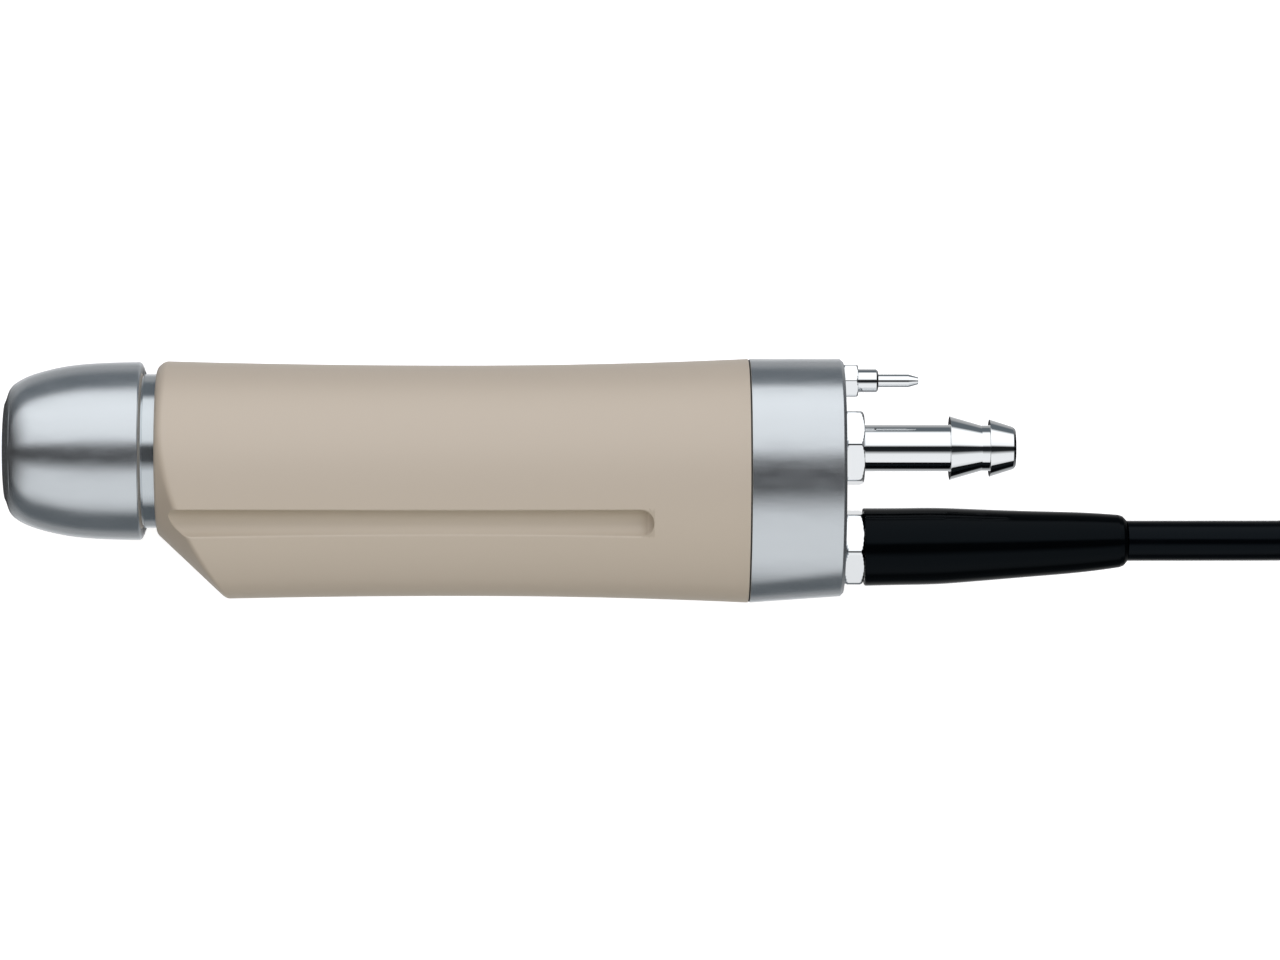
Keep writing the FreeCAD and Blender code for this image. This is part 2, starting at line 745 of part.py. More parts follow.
def cable_coil():
    """The outer shape of the folded stretch, and the strap round one side of it."""
    bevel = 0.6 * cable_radius
    outer = oblong(coil_outer_fold + cable_radius, coil_low, coil_top)
    rims = [e for e in outer.Edges if e.BoundBox.ZLength < 0.01]
    ring = outer.makeChamfer(bevel, rims).cut(oblong(coil_inner_fold - cable_radius, coil_low, coil_top))
    save("cable_coil", ring)
    near = coil_axis - coil_inner_fold + cable_radius + tie_thickness
    far = coil_axis - coil_outer_fold - cable_radius - tie_thickness
    x = coil_first + coil_run / 2
    strap = block(x - tie_width / 2, x + tie_width / 2, far, near, table, coil_top + tie_thickness)
    corners = [e for e in strap.Edges if e.BoundBox.XLength > 1 and e.BoundBox.YLength + e.BoundBox.ZLength < 0.01]
    save("coil_tie", strap.makeFillet(tie_corner, corners).cut(ring))


def plug():
    """The round connector at the cable's far end, along +X."""
    end = tail_route[-1]
    boot_rear = plug_boot_length
    back_end = boot_rear + plug_back_length
    collar_end = back_end + plug_collar_length
    shell_end = collar_end + plug_shell_length

    def placed(shape):
        shape.translate(end - Vector(plug_boot_length / 2, 0, 0))
        return shape

    boot = turned([
        (0, 0), (0, cable_radius + plug_boot_lip), (boot_rear, plug_radius - plug_boot_step), (boot_rear, 0),
    ])
    save("plug_boot", placed(boot).cut(tail_solid))
    back = turned([
        (boot_rear, 0), (boot_rear, plug_radius - plug_bevel), (boot_rear + plug_bevel, plug_radius),
        (back_end, plug_radius), (back_end, 0),
    ])
    for i in range(plug_ring_count):
        start = boot_rear + plug_ring_place + plug_ring_pitch * i
        groove = pipe(plug_radius + 1, plug_radius - plug_ring_depth, start, start + plug_ring_width)
        back = back.cut(groove)
    save("plug_back", placed(back))
    collar_radius = plug_radius - plug_collar_step
    collar = turned([
        (back_end, 0), (back_end, collar_radius), (collar_end - plug_bevel, collar_radius),
        (collar_end, collar_radius - plug_bevel), (collar_end, 0),
    ])
    for i in range(plug_grip_count):
        a = 2 * math.pi * i / plug_grip_count
        r = collar_radius + plug_grip_radius / 2
        flute = rod(plug_grip_radius, back_end + 2, collar_end - 2.5, r * math.cos(a), r * math.sin(a))
        collar = collar.cut(flute)
    save("plug_collar", placed(collar))
    shell = pipe(plug_shell_radius, plug_shell_radius - plug_shell_wall, collar_end, shell_end)
    save("plug_shell", placed(shell))
    pin_end = shell_end - plug_pin_inset
    pins = [rod(plug_pin_radius, collar_end, pin_end)]
    for i in range(plug_pin_count - 1):
        a = 2 * math.pi * i / (plug_pin_count - 1)
        y = plug_pin_circle * math.cos(a)
        pins.append(rod(plug_pin_radius, collar_end, pin_end, y, plug_pin_circle * math.sin(a)))
    save("plug_pins", placed(Part.makeCompound(pins)))


def gear_case():
    form = housing_form(wall + slack, gear_case_front, gear_case_rear).common(inner_nose(wall + slack, gear_case_front))
    for side in (-1, 1):
        form = form.cut(grip_groove(grip_groove_radius + grip_groove_backing + slack, side))
    chamber_end = gear_place + gear_width + 0.5
    flange_rear = gear_case_front + 1
    pinion_radius = gear_module * (pinion_teeth + 2) / 2 + slack
    seal_start = gear_case_rear - seal_length
    inside = turned([
        (gear_case_front - 1, 0), (gear_case_front - 1, chuck_flange_radius), (flange_rear, chuck_flange_radius),
        (flange_rear, gear_chamber_radius), (chamber_end, gear_chamber_radius), (chamber_end, bearing_radius),
        (rear_bearing_place + bearing_width, bearing_radius),
        (rear_bearing_place + bearing_width, spindle_radius + slack), (seal_start, spindle_radius + slack),
        (seal_start, seal_radius), (gear_case_rear + 1, seal_radius), (gear_case_rear + 1, 0),
    ])
    form = form.cut(inside)
    form = form.cut(rod(pinion_radius, gear_place - 0.5, gear_case_rear + 1, -gear_distance))
    for side in (-1, 1):
        y = case_screw_rise
        z = side * case_screw_spread
        form = form.cut(rod(case_screw_radius + 0.1, gear_case_front, gear_case_rear + 1, y, z))
        form = form.cut(rod(case_screw_head + 0.1, gear_case_rear - case_screw_height, gear_case_rear + 1, y, z))
    form = form.cut(rod(irrigation_channel_radius, flange_rear, gear_case_rear + 1, irrigation_channel_height))
    seat = rod(irrigation_line_radius, gear_case_rear - line_seat, gear_case_rear + 1, irrigation_channel_height)
    save("gear_case", form.cut(seat))


def case_screws():
    screws = []
    for side in (-1, 1):
        y = case_screw_rise
        z = side * case_screw_spread
        shank = rod(case_screw_radius - fit, housing_front + 0.8, gear_case_rear - 1, y, z)
        head = rod(case_screw_head, gear_case_rear - case_screw_height, gear_case_rear - 1, y, z)
        socket = hexagon(0.9, gear_case_rear - 2, gear_case_rear, y, 0)
        socket.translate(Vector(0, 0, z))
        screws.append(shank.fuse(head).cut(socket))
    save("case_screws", Part.makeCompound(screws))


def bearings():
    for name, place in (("front", front_bearing_place), ("rear", rear_bearing_place)):
        end = place + bearing_width
        race = pipe(bearing_radius, bearing_radius - bearing_race, place, end)
        save(name + "_bearing_outer", race)
        inner = pipe(spindle_radius + bearing_race, spindle_radius, place, end)
        save(name + "_bearing_inner", inner)


def shaft_seals():
    for name, end in (("front", front_bearing_place), ("rear", gear_case_rear)):
        ring = pipe(seal_radius, spindle_radius + fit, end - seal_length, end)
        save(name + "_shaft_seal", ring)


def drive_spindle():
    body = pipe(spindle_radius, spindle_bore, spindle_front, spindle_rear)
    half = drive_slot_width / 2
    slot = block(spindle_front - 1, spindle_front + drive_slot_depth, -10, 10, -half, half)
    save("drive_spindle", body.cut(slot))


def gears():
    end = gear_place + gear_width
    save("output_gear", gear(output_teeth, gear_place, end, 0, math.pi, spindle_radius))
    start = gear_place + (gear_width - pinion_width) / 2
    half_step = math.pi / pinion_teeth
    save("motor_pinion", gear(pinion_teeth, start, start + pinion_width, -gear_distance, half_step, motor_shaft_radius))


def motor():
    y = -gear_distance
    front = gear_case_rear
    rear = front + motor_length
    bearing_front = front + motor_plate
    bearing_rear = rear - motor_plate - motor_bearing_width
    case = rod(motor_radius, front, rear - motor_plate, y)
    case = case.cut(rod(motor_radius - motor_wall, front + motor_plate + motor_bearing_width, rear, y))
    case = case.cut(rod(motor_bearing_radius, bearing_front, rear, y))
    save("motor_case", case.cut(rod(motor_shaft_radius + slack, front - 1, rear, y)))
    lid = rod(motor_radius, rear - motor_plate, rear, y)
    lid = lid.fuse(pipe(motor_radius - motor_wall, motor_bearing_radius, bearing_rear, rear - motor_plate, y))
    for i in range(3):
        a = math.radians(90 + 120 * i)
        lid = lid.cut(rod(wire_radius, bearing_rear - 1, rear + 1, y + wire_circle * math.cos(a), wire_circle * math.sin(a)))
    save("motor_lid", lid)
    stator_end = stator_place + stator_length
    core = pipe(motor_radius - motor_wall, stator_bore, stator_place, stator_end, y)
    for i in range(stator_slots):
        a = 2 * math.pi * i / stator_slots
        radius = (stator_bore + motor_radius - motor_wall) / 2
        core = core.cut(rod(0.9, stator_place - 1, stator_end + 1, y + radius * math.cos(a), radius * math.sin(a)))
    save("stator_core", core)
    ends = [
        pipe(motor_radius - motor_wall - 0.3, stator_bore + 0.2, stator_place - winding_length, stator_place, y),
        pipe(motor_radius - motor_wall - 0.3, stator_bore + 0.2, stator_end, stator_end + winding_length, y),
    ]
    save("stator_windings", Part.makeCompound(ends))
    middle = (stator_place + stator_end) / 2
    magnet = pipe(magnet_radius, motor_shaft_radius, middle - magnet_length / 2, middle + magnet_length / 2, y)
    save("rotor_magnet", magnet)
    save("rotor_shaft", rod(motor_shaft_radius, gear_place - 0.2, bearing_rear + motor_bearing_width, y))
    for name, place in (("front", bearing_front), ("rear", bearing_rear)):
        ring = pipe(motor_bearing_radius, motor_shaft_radius + 0.03, place, place + motor_bearing_width, y)
        save("motor_bearing_" + name, ring)
    board = pipe(motor_radius - motor_wall - 0.2, 3.2, bearing_rear - 1 - board_thickness, bearing_rear - 1, y)
    save("sensor_board", board)


def suction_line():
    """A soft tube with a socket round the spindle's rear, rising to the port."""
    start = spindle_rear - line_socket_length
    socket_end = spindle_rear + 0.5
    end = plate_front - shank_reach
    socket = turned([
        (start, spindle_radius + fit), (start, line_socket_radius), (socket_end, line_socket_radius),
        (socket_end + 2, line_radius), (socket_end + 2, line_bore), (socket_end, line_bore),
        (socket_end, spindle_radius + fit),
    ])
    route = [
        Vector(socket_end + 1, 0, 0),
        Vector(socket_end + line_rise_run, 0, 0),
        Vector(end - line_rise_run, port_height, 0),
        Vector(end, port_height, 0),
    ]
    tube = swept(route, line_radius).cut(swept(route, line_bore))
    save("suction_line", socket.fuse(tube))


def irrigation_line():
    """A soft tube from the rear fitting's nipple to the gear case's channel."""
    end = plate_front - shank_reach / 2
    rise = irrigation_height - irrigation_channel_height
    route = [
        Vector(gear_case_rear - line_seat, irrigation_channel_height, 0),
        Vector(end - line_offset_place, irrigation_channel_height, 0),
        Vector(end - line_offset_place + line_offset_run * rise, irrigation_height, 0),
        Vector(end, irrigation_height, 0),
    ]
    save("irrigation_line", swept(route, irrigation_line_radius).cut(swept(route, irrigation_line_bore)))


def motor_leads():
    """Three wires from the motor's lid to the cable's end."""
    rear = gear_case_rear + motor_length
    wires = []
    for i in range(3):
        a = math.radians(90 + 120 * i)
        start = Vector(rear - 2, -gear_distance + wire_circle * math.cos(a), wire_circle * math.sin(a))
        away = Vector(-sliding_gap, wire_spread * math.cos(a), wire_spread * math.sin(a))
        end = cable_route[0] + away
        lead = Vector(wire_lead, 0, 0)
        wires.append(swept([start, start + lead, end - 0.8 * lead, end], wire_radius - fit))
    save("motor_leads", Part.makeCompound(wires))


cable_solid = swept(cable_route, cable_radius)
tail_solid = swept(tail_route, cable_radius)
locking_sleeve()
nose_ring()
chuck_body()
stop_ring()
lock_balls()
sleeve_spring()
sleeve_seal()
housing_shell()
rear_gasket()
rear_cap()
irrigation_fitting()
suction_fitting()
gland()
strain_relief()
save("cable", cable_solid)
cable_coil()
save("cable_tail", tail_solid)
plug()
gear_case()
case_screws()
bearings()
shaft_seals()
drive_spindle()
gears()
motor()
suction_line()
irrigation_line()
motor_leads()
print(len(kept), "sub-parts")
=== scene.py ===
"""The picture and the finished look of the shaver handpiece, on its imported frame.

Lengths in this script are in millimetres until they reach Blender, which gets metres.
"""
import json
import math

import bmesh
import bpy
import numpy as np
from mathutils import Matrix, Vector

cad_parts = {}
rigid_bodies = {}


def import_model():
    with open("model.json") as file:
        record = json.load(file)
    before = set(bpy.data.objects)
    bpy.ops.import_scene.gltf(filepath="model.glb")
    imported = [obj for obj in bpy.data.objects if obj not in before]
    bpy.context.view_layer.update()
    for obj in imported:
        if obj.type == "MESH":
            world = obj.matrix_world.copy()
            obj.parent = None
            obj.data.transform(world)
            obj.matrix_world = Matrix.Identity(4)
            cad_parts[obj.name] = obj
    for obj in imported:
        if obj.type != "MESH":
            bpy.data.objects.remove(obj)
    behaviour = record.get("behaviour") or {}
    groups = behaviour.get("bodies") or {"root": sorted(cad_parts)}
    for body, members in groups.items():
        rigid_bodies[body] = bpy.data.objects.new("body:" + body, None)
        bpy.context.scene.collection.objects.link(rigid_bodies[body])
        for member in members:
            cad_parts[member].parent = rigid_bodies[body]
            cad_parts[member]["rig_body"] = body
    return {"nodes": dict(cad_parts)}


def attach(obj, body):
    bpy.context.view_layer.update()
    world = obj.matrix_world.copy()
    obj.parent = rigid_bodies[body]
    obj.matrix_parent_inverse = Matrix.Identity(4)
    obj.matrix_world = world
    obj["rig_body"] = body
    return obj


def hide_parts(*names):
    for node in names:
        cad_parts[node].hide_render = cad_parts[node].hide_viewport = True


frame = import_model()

nodes = frame["nodes"]
scene = bpy.context.scene
MM = 0.001

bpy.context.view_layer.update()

# Camera: straight above the table, as the photograph is taken

eye = (76.15, -4.46, 980.0)
lens_mm = 179.2
camera_data = bpy.data.cameras.new("camera")
camera_data.sensor_width = 36.0
camera_data.lens = lens_mm
camera_data.shift_x = 0.109
camera_data.clip_start = 0.05
camera_data.clip_end = 20.0
camera = bpy.data.objects.new("camera", camera_data)
scene.collection.objects.link(camera)
camera.location = Vector(eye) * MM
camera.rotation_euler = (0.0, 0.0, 0.0)
scene.camera = camera

# Places shared with the frame

cable_radius = 3.1
cable_place = -13.8
boot_end = 172.4
table_height = -14.17
tie_thickness = 0.8
fold_radii = (24.8, 18.6)
fold_axis = -19.0
fold_first = 249.7
fold_run = 110.3
last_rise = 5.4
plug_axis = (2.7, 18.83)
cable_start = [
    (boot_end, cable_place, 0.0), (188.0, cable_place, -1.0), (204.0, cable_place, -3.0),
    (234.0, 5.8, -9.2),
]
cable_end = [(288.0, *plug_axis), (312.0, *plug_axis)]


def folded_points():
    """The turns of the hank, layer on layer: each is two runs and two folds."""
    points = []
    steps = 8
    stretch = 1 / math.cos(math.pi / steps / 2)
    for turn in range(8):
        layer = turn // 2
        outer = turn in (0, 3, 4, 7)
        radius = fold_radii[0] if outer else fold_radii[1]
        level = table_height + tie_thickness + cable_radius * (1 + 2 * layer)
        if turn == 7:
            after = plug_axis[0] - fold_axis
            above = level + last_rise
        elif turn % 2 == 1:
            after = radius
            above = level + 2 * cable_radius
        else:
            after = sum(fold_radii) - radius
            above = level
        for share in (0.0, 0.25, 0.5, 0.75, 1.0):
            points.append((fold_first + fold_run * share, fold_axis + radius, level))
        for i in range(1, steps):
            a = math.radians(90) - math.pi * i / steps
            r = radius * stretch
            points.append((fold_first + fold_run + r * math.cos(a), fold_axis + r * math.sin(a), level))
        for share in (1.0, 0.75, 0.5, 0.25, 0.0):
            points.append((fold_first + fold_run * share, fold_axis - radius, level))
        for i in range(1, steps):
            a = math.radians(-90) - math.pi * i / steps
            shift = min(1.0, max(0.0, (i / steps - 0.45) / 0.5))
            r = (radius + (after - radius) * shift) * stretch
            z = level + (above - level) * shift
            points.append((fold_first + r * math.cos(a), fold_axis + r * math.sin(a), z))
    points.append((fold_first, fold_axis + after, above))
    return points


def cord_curve(name, route, radius):
    """A round cord along one smooth curve."""
    curve = bpy.data.curves.new(name, "CURVE")
    curve.dimensions = "3D"
    curve.bevel_depth = radius * MM
    curve.bevel_resolution = 6
    curve.resolution_u = 6
    curve.use_fill_caps = True
    spline = curve.splines.new("NURBS")
    spline.points.add(len(route) - 1)
    for point, place in zip(spline.points, route):
        point.co = (place[0] * MM, place[1] * MM, place[2] * MM, 1.0)
    spline.order_u = 3
    spline.use_endpoint_u = True
    spline.resolution_u = 6
    piece = bpy.data.objects.new(name, curve)
    scene.collection.objects.link(piece)
    return piece


cord = cord_curve("cable_jacket", cable_start + folded_points() + cable_end, cable_radius)

# Meshes


def new_piece(name, vertices, faces, material, body="handpiece", smooth=True):
    """A mesh piece from millimetre points, facing outward and smooth except at its hard edges."""
    mesh = bpy.data.meshes.new(name)
    mesh.from_pydata([(x * MM, y * MM, z * MM) for x, y, z in vertices], [], faces)
    model = bmesh.new()
    model.from_mesh(mesh)
    bmesh.ops.remove_doubles(model, verts=model.verts, dist=2e-7)
    loose = [f for f in model.faces if f.calc_area() < 1e-15]
    bmesh.ops.delete(model, geom=loose, context="FACES_ONLY")
    bmesh.ops.recalc_face_normals(model, faces=model.faces)
    if model.calc_volume(signed=True) < 0:
        bmesh.ops.reverse_faces(model, faces=model.faces)
    for edge in model.edges:
        edge.smooth = smooth and edge.calc_face_angle(0.0) < math.radians(32)
    for face in model.faces:
        face.smooth = smooth
    model.to_mesh(mesh)
    model.free()
    mesh.materials.append(material)
    piece = bpy.data.objects.new(name, mesh)
    scene.collection.objects.link(piece)
    if body:
        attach(piece, body)
    return piece


def skin(name, rings, material, body="handpiece", closed=False):
    """A surface through rings of equal count. A closed one joins its last ring to its first."""
    count = len(rings[0])
    vertices = [point for ring in rings for point in ring]
    faces = []
    pairs = list(zip(range(len(rings)), range(1, len(rings))))
    if closed:
        pairs.append((len(rings) - 1, 0))
    for a, b in pairs:
        for i in range(count):
            j = (i + 1) % count
            faces.append((a * count + i, a * count + j, b * count + j, b * count + i))
    return new_piece(name, vertices, faces, material, body)


def corner_curve(start, corner, end, steps=4):
    """Points from start to end on a curve that rounds the corner between them."""
    shares = [k / steps for k in range(steps + 1)]
    return [(1 - t) ** 2 * start + 2 * t * (1 - t) * corner + t ** 2 * end for t in shares]


def eased(outline, radius, closed=False):
    """Rounds an outline's corners, and keeps the flats beside them flat."""
    points = [np.array(p, float) for p in outline]
    out = []
    count = len(points)
    for i, here in enumerate(points):
        if not closed and i in (0, count - 1):
            out.append(here)
            continue
        before = points[i - 1] - here
        after = points[(i + 1) % count] - here
        long_in = np.linalg.norm(before)
        long_out = np.linalg.norm(after)
        before /= long_in
        after /= long_out
        turn = math.pi - math.acos(max(-1.0, min(1.0, float(before @ after))))
        if turn < math.radians(4):
            out.append(here)
            continue
        reach = min(radius * math.tan(turn / 2), 0.42 * long_in, 0.42 * long_out)
        out.append(here + before * min(1.25 * reach, 0.48 * long_in))
        out += corner_curve(here + before * reach, here, here + after * reach)
        out.append(here + after * min(1.25 * reach, 0.48 * long_out))
    return out


def turned(name, outline, material, body="handpiece", centre=(0.0, 0.0), ease=0.1, closed=False, sides=96):
    """A piece turned about an axis along X, from its (x, radius) outline with eased corners."""
    rings = []
    for x, r in eased(outline, ease, closed):
        ring = []
        for i in range(sides):
            a = 2 * math.pi * i / sides
            ring.append((x, centre[0] + r * math.cos(a), centre[1] + r * math.sin(a)))
        rings.append(ring)
    return skin(name, rings, material, body, closed)


def blend_min(a, b, width):
    """The smaller of two, with a rounded change from one to the other."""
    near = np.maximum(width - np.abs(a - b), 0.0) / width
    return np.minimum(a, b) - near * near * width / 4


# The housing's form, as in the frame

housing_front = 23.4
housing_rear = 114.2
cap_front = 114.4
cap_rear = 128.8
plate_front = 125.8
housing_top = 13.85
housing_bottom = 23.0
housing_half = 13.85
side_drop = 2.9
side_offset = 10.8
waist_place = housing_front + 0.513 * (housing_rear - housing_front)
waist_inset = 0.7
rear_swell = 0.32
wall = 1.6
cap_wall = 2.2
cap_lift = 1.0
cap_middle = -4.2
chamfer = math.radians(43.3)
chamfer_inset = 1.374
nose_turn = math.radians(46.7)
nose_round = 1.4
nose_reach = nose_round * math.tan(nose_turn / 2)
nose_corner = 12.1 + nose_reach
groove_radius = 2.3
groove_middle = (-11.34, 12.76)
groove_end = housing_rear - 16.9
flange_radius = 10.8
points_above_groove = 84
points_in_groove = 20
points_below_groove = 52


def swell(x):
    """How much the section at x is grown: waisted in the middle, a little wider behind."""
    t = (x - waist_place) / (waist_place - housing_front)
    if x < waist_place:
        return -waist_inset * (1 - t * t)
    t = (x - waist_place) / (housing_rear - waist_place)
    return min(rear_swell, -waist_inset + (waist_inset + rear_swell) * t * t)


def egg(angles, grow, lift=0.0):
    """The section's distance from the blade axis, at angles from +Y."""
    top = housing_top + grow
    bottom = -housing_bottom - grow + lift
    side = housing_half + grow + side_offset
    above = side - (top + side_drop)
    below = side - (-side_drop - bottom)
    up = (side_offset ** 2 - above ** 2) / (2 * above)
    down = (side_offset ** 2 - below ** 2) / (2 * below)
    top_radius = side - up - above
    bottom_radius = side - down - below
    top_point = (up - side_drop + top_radius * up / (up + above), top_radius * side_offset / (up + above))
    low_point = (
        -down - side_drop - bottom_radius * down / (down + below),
        bottom_radius * side_offset / (down + below),
    )
    flat = np.abs(np.arctan2(np.sin(angles), np.cos(angles)))
    y = np.cos(flat)
    z = np.sin(flat)

    def hit(cy, cz, radius):
        along = cy * y + cz * z
        return along + np.sqrt(np.maximum(radius ** 2 - cy ** 2 - cz ** 2 + along ** 2, 0.0))

    first = math.atan2(top_point[1], top_point[0])
    second = math.atan2(low_point[1], low_point[0])
    return np.where(
        flat < first, hit(up - side_drop, 0.0, top_radius),
        np.where(
            flat < second, hit(-side_drop, -side_offset, side),
            hit(-down - side_drop, 0.0, bottom_radius),
        ),
    )


def nose_limit(x):
    """How far out the front's rounded edge and the chamfer below the socket let the housing go."""
    depth = x - housing_front
    if depth < nose_reach * math.cos(chamfer):
        return nose_corner - nose_reach + math.sqrt(max(0.0, nose_round ** 2 - (nose_round - depth) ** 2))
    return nose_corner + math.tan(chamfer) * depth


def housing_ring(x, inset=0.0):
    """The housing's section at x, with its points gathered along the edges of the side grooves."""

    def body(angles):
        outside = egg(angles, swell(x) - inset)
        return blend_min(outside, np.full_like(outside, nose_limit(x) - inset * chamfer_inset), 0.6)

    reach = groove_radius + (1.3 if inset else 0.0)
    beyond = max(0.0, x - groove_end)
    reach = math.sqrt(max(1e-9, reach ** 2 - beyond ** 2)) if beyond < reach else 1e-4
    centre = np.array(groove_middle)
    aim = math.atan2(centre[1], centre[0])
    fine = np.linspace(aim - 0.35, aim + 0.35, 1401)
    distance = body(fine)
    places = np.stack([distance * np.cos(fine), distance * np.sin(fine)], 1)
    inside = np.linalg.norm(places - centre, axis=1) - reach
    inside_at = np.nonzero(inside < 0)[0]
    if len(inside_at) > 2:
        low_i, high_i = inside_at[0], inside_at[-1]
        before = [low_i, low_i - 1]
        after = [high_i, high_i + 1]
        first = float(np.interp(0.0, inside[before], fine[before]))
        second = float(np.interp(0.0, inside[after], fine[after]))
    else:
        middle = float(fine[np.argmin(inside)])
        first = middle - 1e-5
        second = middle + 1e-5
    spread = (second - first) * float(np.min(distance))
    ease = min(0.22, 0.12 * spread)
    turn = ease / float(np.min(distance))

    def at(angle):
        r = float(body(np.array([angle]))[0])
        return np.array([r * math.cos(angle), r * math.sin(angle)])

    edge_a = at(first)
    edge_b = at(second)
    start_a = math.atan2(edge_a[1] - centre[1], edge_a[0] - centre[0])
    start_b = math.atan2(edge_b[1] - centre[1], edge_b[0] - centre[0])
    if start_b < 0:
        start_b += 2 * math.pi
    if start_a < 0:
        start_a += 2 * math.pi
    shallow = len(inside_at) <= 2
    points = []
    for angle in np.linspace(0.0, first - turn * 1.6, points_above_groove):
        points.append(at(angle))
    rim_a = at(first - turn)
    floor_turn = ease / max(reach, 0.05)
    if start_a < start_b:
        start_a += 2 * math.pi
    sweep_a = start_a - floor_turn
    sweep_b = start_b + floor_turn

    def bottom(angle):
        return centre + reach * np.array([math.cos(angle), math.sin(angle)])

    in_a = at(first + turn) if shallow else bottom(sweep_a)
    in_b = at(second - turn) if shallow else bottom(sweep_b)
    rim_b = at(second + turn)
    points += corner_curve(rim_a, edge_a, in_a)
    for k in range(1, points_in_groove):
        t = k / points_in_groove
        points.append(in_a * (1 - t) + in_b * t if shallow else bottom(sweep_a + (sweep_b - sweep_a) * t))
    points += corner_curve(in_b, edge_b, rim_b)
    for angle in np.linspace(second + turn * 1.6, math.pi, points_below_groove):
        points.append(at(angle))
    far = [p * np.array([1.0, -1.0]) for p in points[-2:0:-1]]
    return [(x, float(p[0]), float(p[1])) for p in points + far]


def shrunk(ring, x, radius):
    """A round ring at x, with the same directions as the given ring."""
    out = []
    for _, y, z in ring:
        size = math.hypot(y, z)
        out.append((x, y * radius / size, z * radius / size))
    return out


def span(start, end, step):
    """Even places from the first one after start to the end, about a step apart."""
    count = max(1, round(abs(end - start) / step))
    return [start + (end - start) * i / count for i in range(1, count + 1)]


# Materials: most are named for the real one; the grooves' darker beige carries painted shade and the
# sleeve's bright bevel a painted highlight

moulded_texture = ((0.16, 0.16, 0.16), 0.003, 0.05)
dark_tint = "D5ECFF"


def shade(code):
    """A colour as seen on a screen, in the renderer's own linear values."""
    parts = [int(code[i:i + 2], 16) / 255 for i in (0, 2, 4)]
    return (*[c / 12.92 if c <= 0.04045 else ((c + 0.055) / 1.055) ** 2.4 for c in parts], 1.0)


def add(tree, kind, inputs=None, **settings):
    """One node, with its settings, and its inputs set or linked."""
    node = tree.nodes.new(kind)
    for key, value in settings.items():
        setattr(node, key, value)
    for key, value in (inputs or {}).items():
        if isinstance(value, bpy.types.NodeSocket):
            tree.links.new(value, node.inputs[key])
        else:
            node.inputs[key].default_value = value
    return node


def surface(name, colour, roughness, metallic=0.0, grain=(), **extra):
    """A principled material. A grain is its size along X, Y and Z, its height and a roughness change."""
    material = bpy.data.materials.new(name)
    material.use_nodes = True
    tree = material.node_tree
    tree.nodes.clear()
    inputs = {"Base Color": shade(colour), "Roughness": roughness, "Metallic": metallic}
    inputs.update({key.replace("_", " "): value for key, value in extra.items()})
    for size, height, change in grain:
        place = add(tree, "ShaderNodeTexCoord").outputs["Object"]
        scale = tuple(1000.0 / s for s in size)
        stretched = add(tree, "ShaderNodeMapping", {"Vector": place, "Scale": scale}).outputs["Vector"]
        noise = add(tree, "ShaderNodeTexNoise", {
            "Vector": stretched, "Scale": 1.0, "Detail": 3.0,
        }).outputs["Fac"]
        inputs["Roughness"] = add(tree, "ShaderNodeMapRange", {
            "Value": noise, "From Min": 0.3, "From Max": 0.7,
            "To Min": roughness - change, "To Max": roughness + change,
        }).outputs["Result"]
        bump = {"Height": noise, "Distance": height * MM, "Strength": 1.0}
        if "Normal" in inputs:
            bump["Normal"] = inputs["Normal"]
        inputs["Normal"] = add(tree, "ShaderNodeBump", bump).outputs["Normal"]
    shader = add(tree, "ShaderNodeBsdfPrincipled", inputs).outputs["BSDF"]
    add(tree, "ShaderNodeOutputMaterial", {"Surface": shader})
    return material


def satin_stainless():
    """Bead-blasted stainless steel: broad soft bands, a fine even grain and faint patches."""
    blasted = ((0.35, 0.35, 0.35), 0.002, 0.03)
    patches = ((6.0, 1.6, 1.6), 0.008, 0.035)
    return surface("satin_stainless", "CACFD3", 0.23, 0.9, (blasted, patches))


def polished_stainless():
    """Polished stainless steel of the neck: mirror bands, faint turning marks."""
    return surface("polished_stainless", "C5CBCF", 0.12, 0.91, [((0.05, 3.0, 3.0), 0.0008, 0.03)])


def bevel_painted_highlight():
    """The turned bevel behind the sleeve: polished, and lighter in colour than the steel as a painted
    highlight.
    """
    return surface("bevel_painted_highlight", "EEF0F2", 0.12, 0.95)


def chrome_plate():
    """Bright plated fittings: near mirror, with the odd soft smear."""
    return surface("chrome_plate", "EEF0F2", 0.04, 1.0, [((1.5, 1.5, 1.5), 0.0006, 0.015)])


def beige_plastic():
    """Moulded housing in matte beige, with a very fine spark-eroded texture."""
    return surface("beige_plastic", "C3B8A7", 0.38, grain=[moulded_texture], Specular_IOR_Level=0.6)


def beige_painted_shade():
    """The housing's plastic in the side grooves, a tone darker: painted shade for the recess."""
    return surface("beige_painted_shade", "B8AD9B", 0.45, grain=[moulded_texture], Specular_IOR_Level=0.5)


def black_rubber():
    """The boot: deep black, moulded smooth, with soft streaks of light."""
    return surface(
        "black_rubber", "020304", 0.13, grain=[((2.0, 0.6, 0.6), 0.003, 0.04)],
        Specular_IOR_Level=0.075, Specular_Tint=shade(dark_tint),
    )


def black_jacket():
    """Extruded cable jacket: black and glossy, slightly uneven."""
    return surface(
        "black_jacket", "020305", 0.18, grain=[((4.0, 4.0, 4.0), 0.012, 0.05)],
        Specular_IOR_Level=0.1, Specular_Tint=shade(dark_tint),
    )


def dark_gasket():
    """The thin seal between housing and cap."""
    return surface("dark_gasket", "24211E", 0.7)


